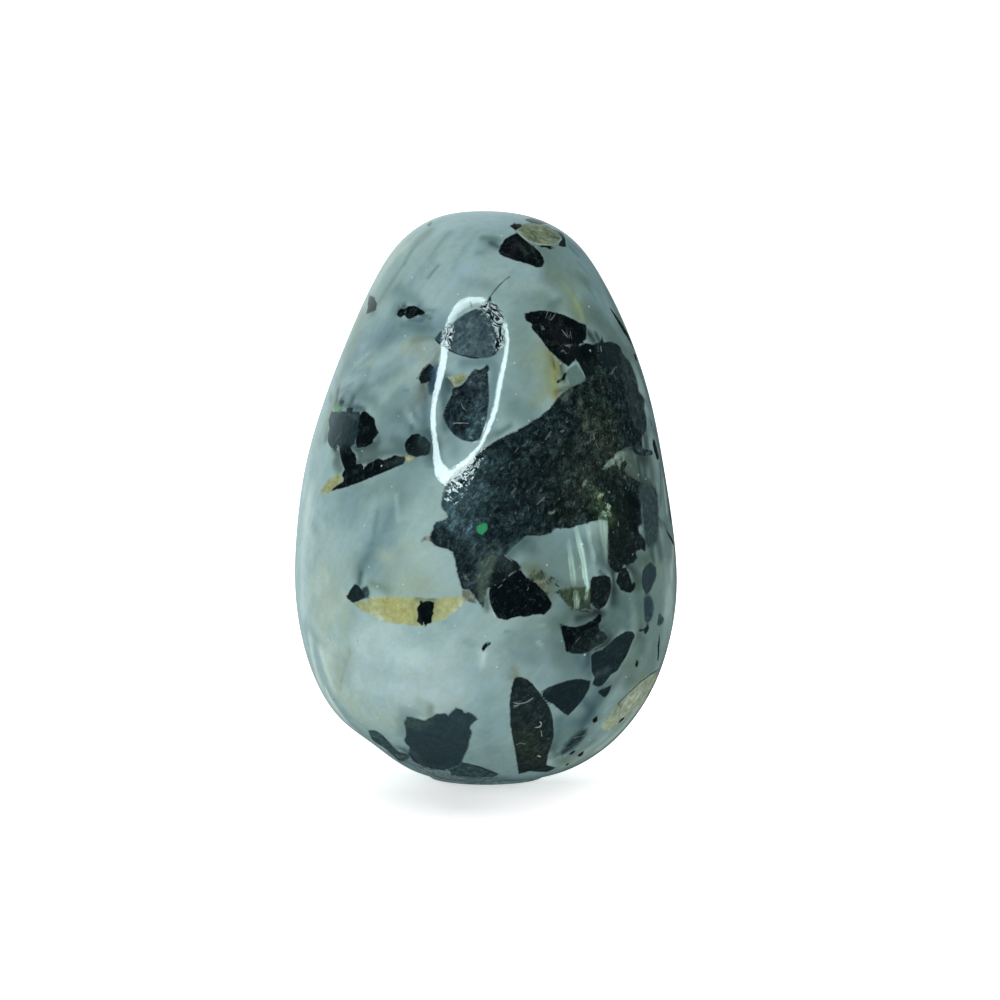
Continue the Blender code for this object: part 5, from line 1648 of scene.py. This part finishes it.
def make_mirrored_lamp(stone, name, edges, distance, colour, strength, shares):
    """A lamp that shows only in the polish, as a highlight between two edges in pixels of the front view.

    Each point of the lamp is found by reflecting the camera's view of the highlight's edge in the stone. The
    shares are how bright the lamp is at each point of the one edge and then of the other.
    """
    count = len(edges[0])
    points = [stone.mirrored(pixel, distance) for edge in edges for pixel in edge]
    faces = [(i, i + 1, count + i + 1, count + i) for i in range(count - 1)]
    mesh = bpy.data.meshes.new(name)
    mesh.from_pydata(points, [], faces)
    attribute = mesh.attributes.new("share", "FLOAT_VECTOR", "POINT")
    attribute.data.foreach_set("vector", np.repeat(np.array(shares, np.float32), 3))
    mesh.materials.append(lamp_material(name + "_light", colour, strength))
    lamp = add_object(name, mesh)
    for rays in HIDDEN_FROM:
        setattr(lamp, "visible_" + rays, False)


def make_highlights(stone):
    """The ring lamp's long oval highlight, and the slim reflections of a window's bars to the right of it."""
    ring = [edge + edge[:1] for edge in (RING_OUTER, RING_INNER)]
    shares = []
    for edge, dimmest in zip(ring, RING_DIMMEST):
        shares += [np.interp(row, RING_FADE, (dimmest, 1.0)) for _, row in edge]
    make_mirrored_lamp(stone, "ring_lamp", ring, RING_DISTANCE, RING_COLOUR, RING_STRENGTH, shares)
    for name, (edges, strength) in BARS.items():
        shares = 2 * ([BAR_ENDS] + [1.0] * (len(edges[0]) - 2) + [BAR_ENDS])
        left, right = np.array(edges)
        for strand, (start, end, share) in enumerate(STRANDS):
            across = [(left + place * (right - left)).tolist() for place in (start, end)]
            lamp = f"{name}_strand_{strand}"
            make_mirrored_lamp(stone, lamp, across, BAR_DISTANCE, BAR_COLOUR, share * strength, shares)


def make_soft_lamp(name, azimuth, rise, size, power):
    """A round lamp that lights the stone and the floor, and doesn't show in the polish."""
    turn, lift = math.radians(azimuth), math.radians(rise)
    away = Vector((math.sin(turn) * math.cos(lift), -math.cos(turn) * math.cos(lift), math.sin(lift)))
    data = bpy.data.lights.new(name, "AREA")
    data.shape = "DISK"
    data.size = size
    data.energy = power
    lamp = add_object(name, data)
    lamp.location = SOFT_LAMP_AIM + away * SOFT_LAMP_DISTANCE
    lamp.rotation_euler = (-away).to_track_quat("-Z", "Y").to_euler()
    lamp.visible_glossy = False


def make_world():
    """White to the camera, soft light on stone and floor, and in the polish a dim room, lighter behind."""
    world = bpy.data.worlds.new("studio")
    world.use_nodes = True
    bpy.context.scene.world = world
    tree = world.node_tree
    tree.nodes.clear()
    g = Graph(tree)
    rays = tree.nodes.new("ShaderNodeLightPath").outputs
    facing = {0: g.add("TexCoord", {}, output=0), 1: BRIGHT_SIDE}
    towards_bright = g.add("VectorMath", facing, output=1, operation="DOT_PRODUCT")
    low, high = ROOM_RAMP
    room = g.add("MapRange", {"Value": towards_bright, 1: low, 2: high, 3: ROOM_DIM, 4: ROOM_BRIGHT})
    seen = g.add("Background", {"Color": WHITE, "Strength": BACKDROP_GLOW})
    light = g.add("Background", {"Color": WHITE, "Strength": SOFT_LIGHT})
    mirrored = g.add("Background", {"Color": (*ROOM_COLOUR, 1.0), "Strength": room})
    others = g.add("MixShader", {0: rays["Is Glossy Ray"], 1: light, 2: mirrored})
    surface = g.add("MixShader", {0: rays["Is Camera Ray"], 1: others, 2: seen})
    output = tree.nodes.new("ShaderNodeOutputWorld")
    tree.links.new(surface, output.inputs["Surface"])


def make_stone():
    mesh = fine_mesh()
    stone = Stone(mesh)
    stone.mark_back()
    stone.mark_front()
    stone.keep_marks()
    mesh.materials.append(stone_material())
    piece = add_object("polished_egg", mesh)
    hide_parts(NODE)
    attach(piece, "root")
    return stone


def make_studio(stone):
    bpy.context.scene.view_settings.view_transform = "Standard"
    make_world()
    make_floor()
    make_highlights(stone)
    for name, lamp in SOFT_LAMPS.items():
        make_soft_lamp(name, *lamp)


make_camera()
make_studio(make_stone())
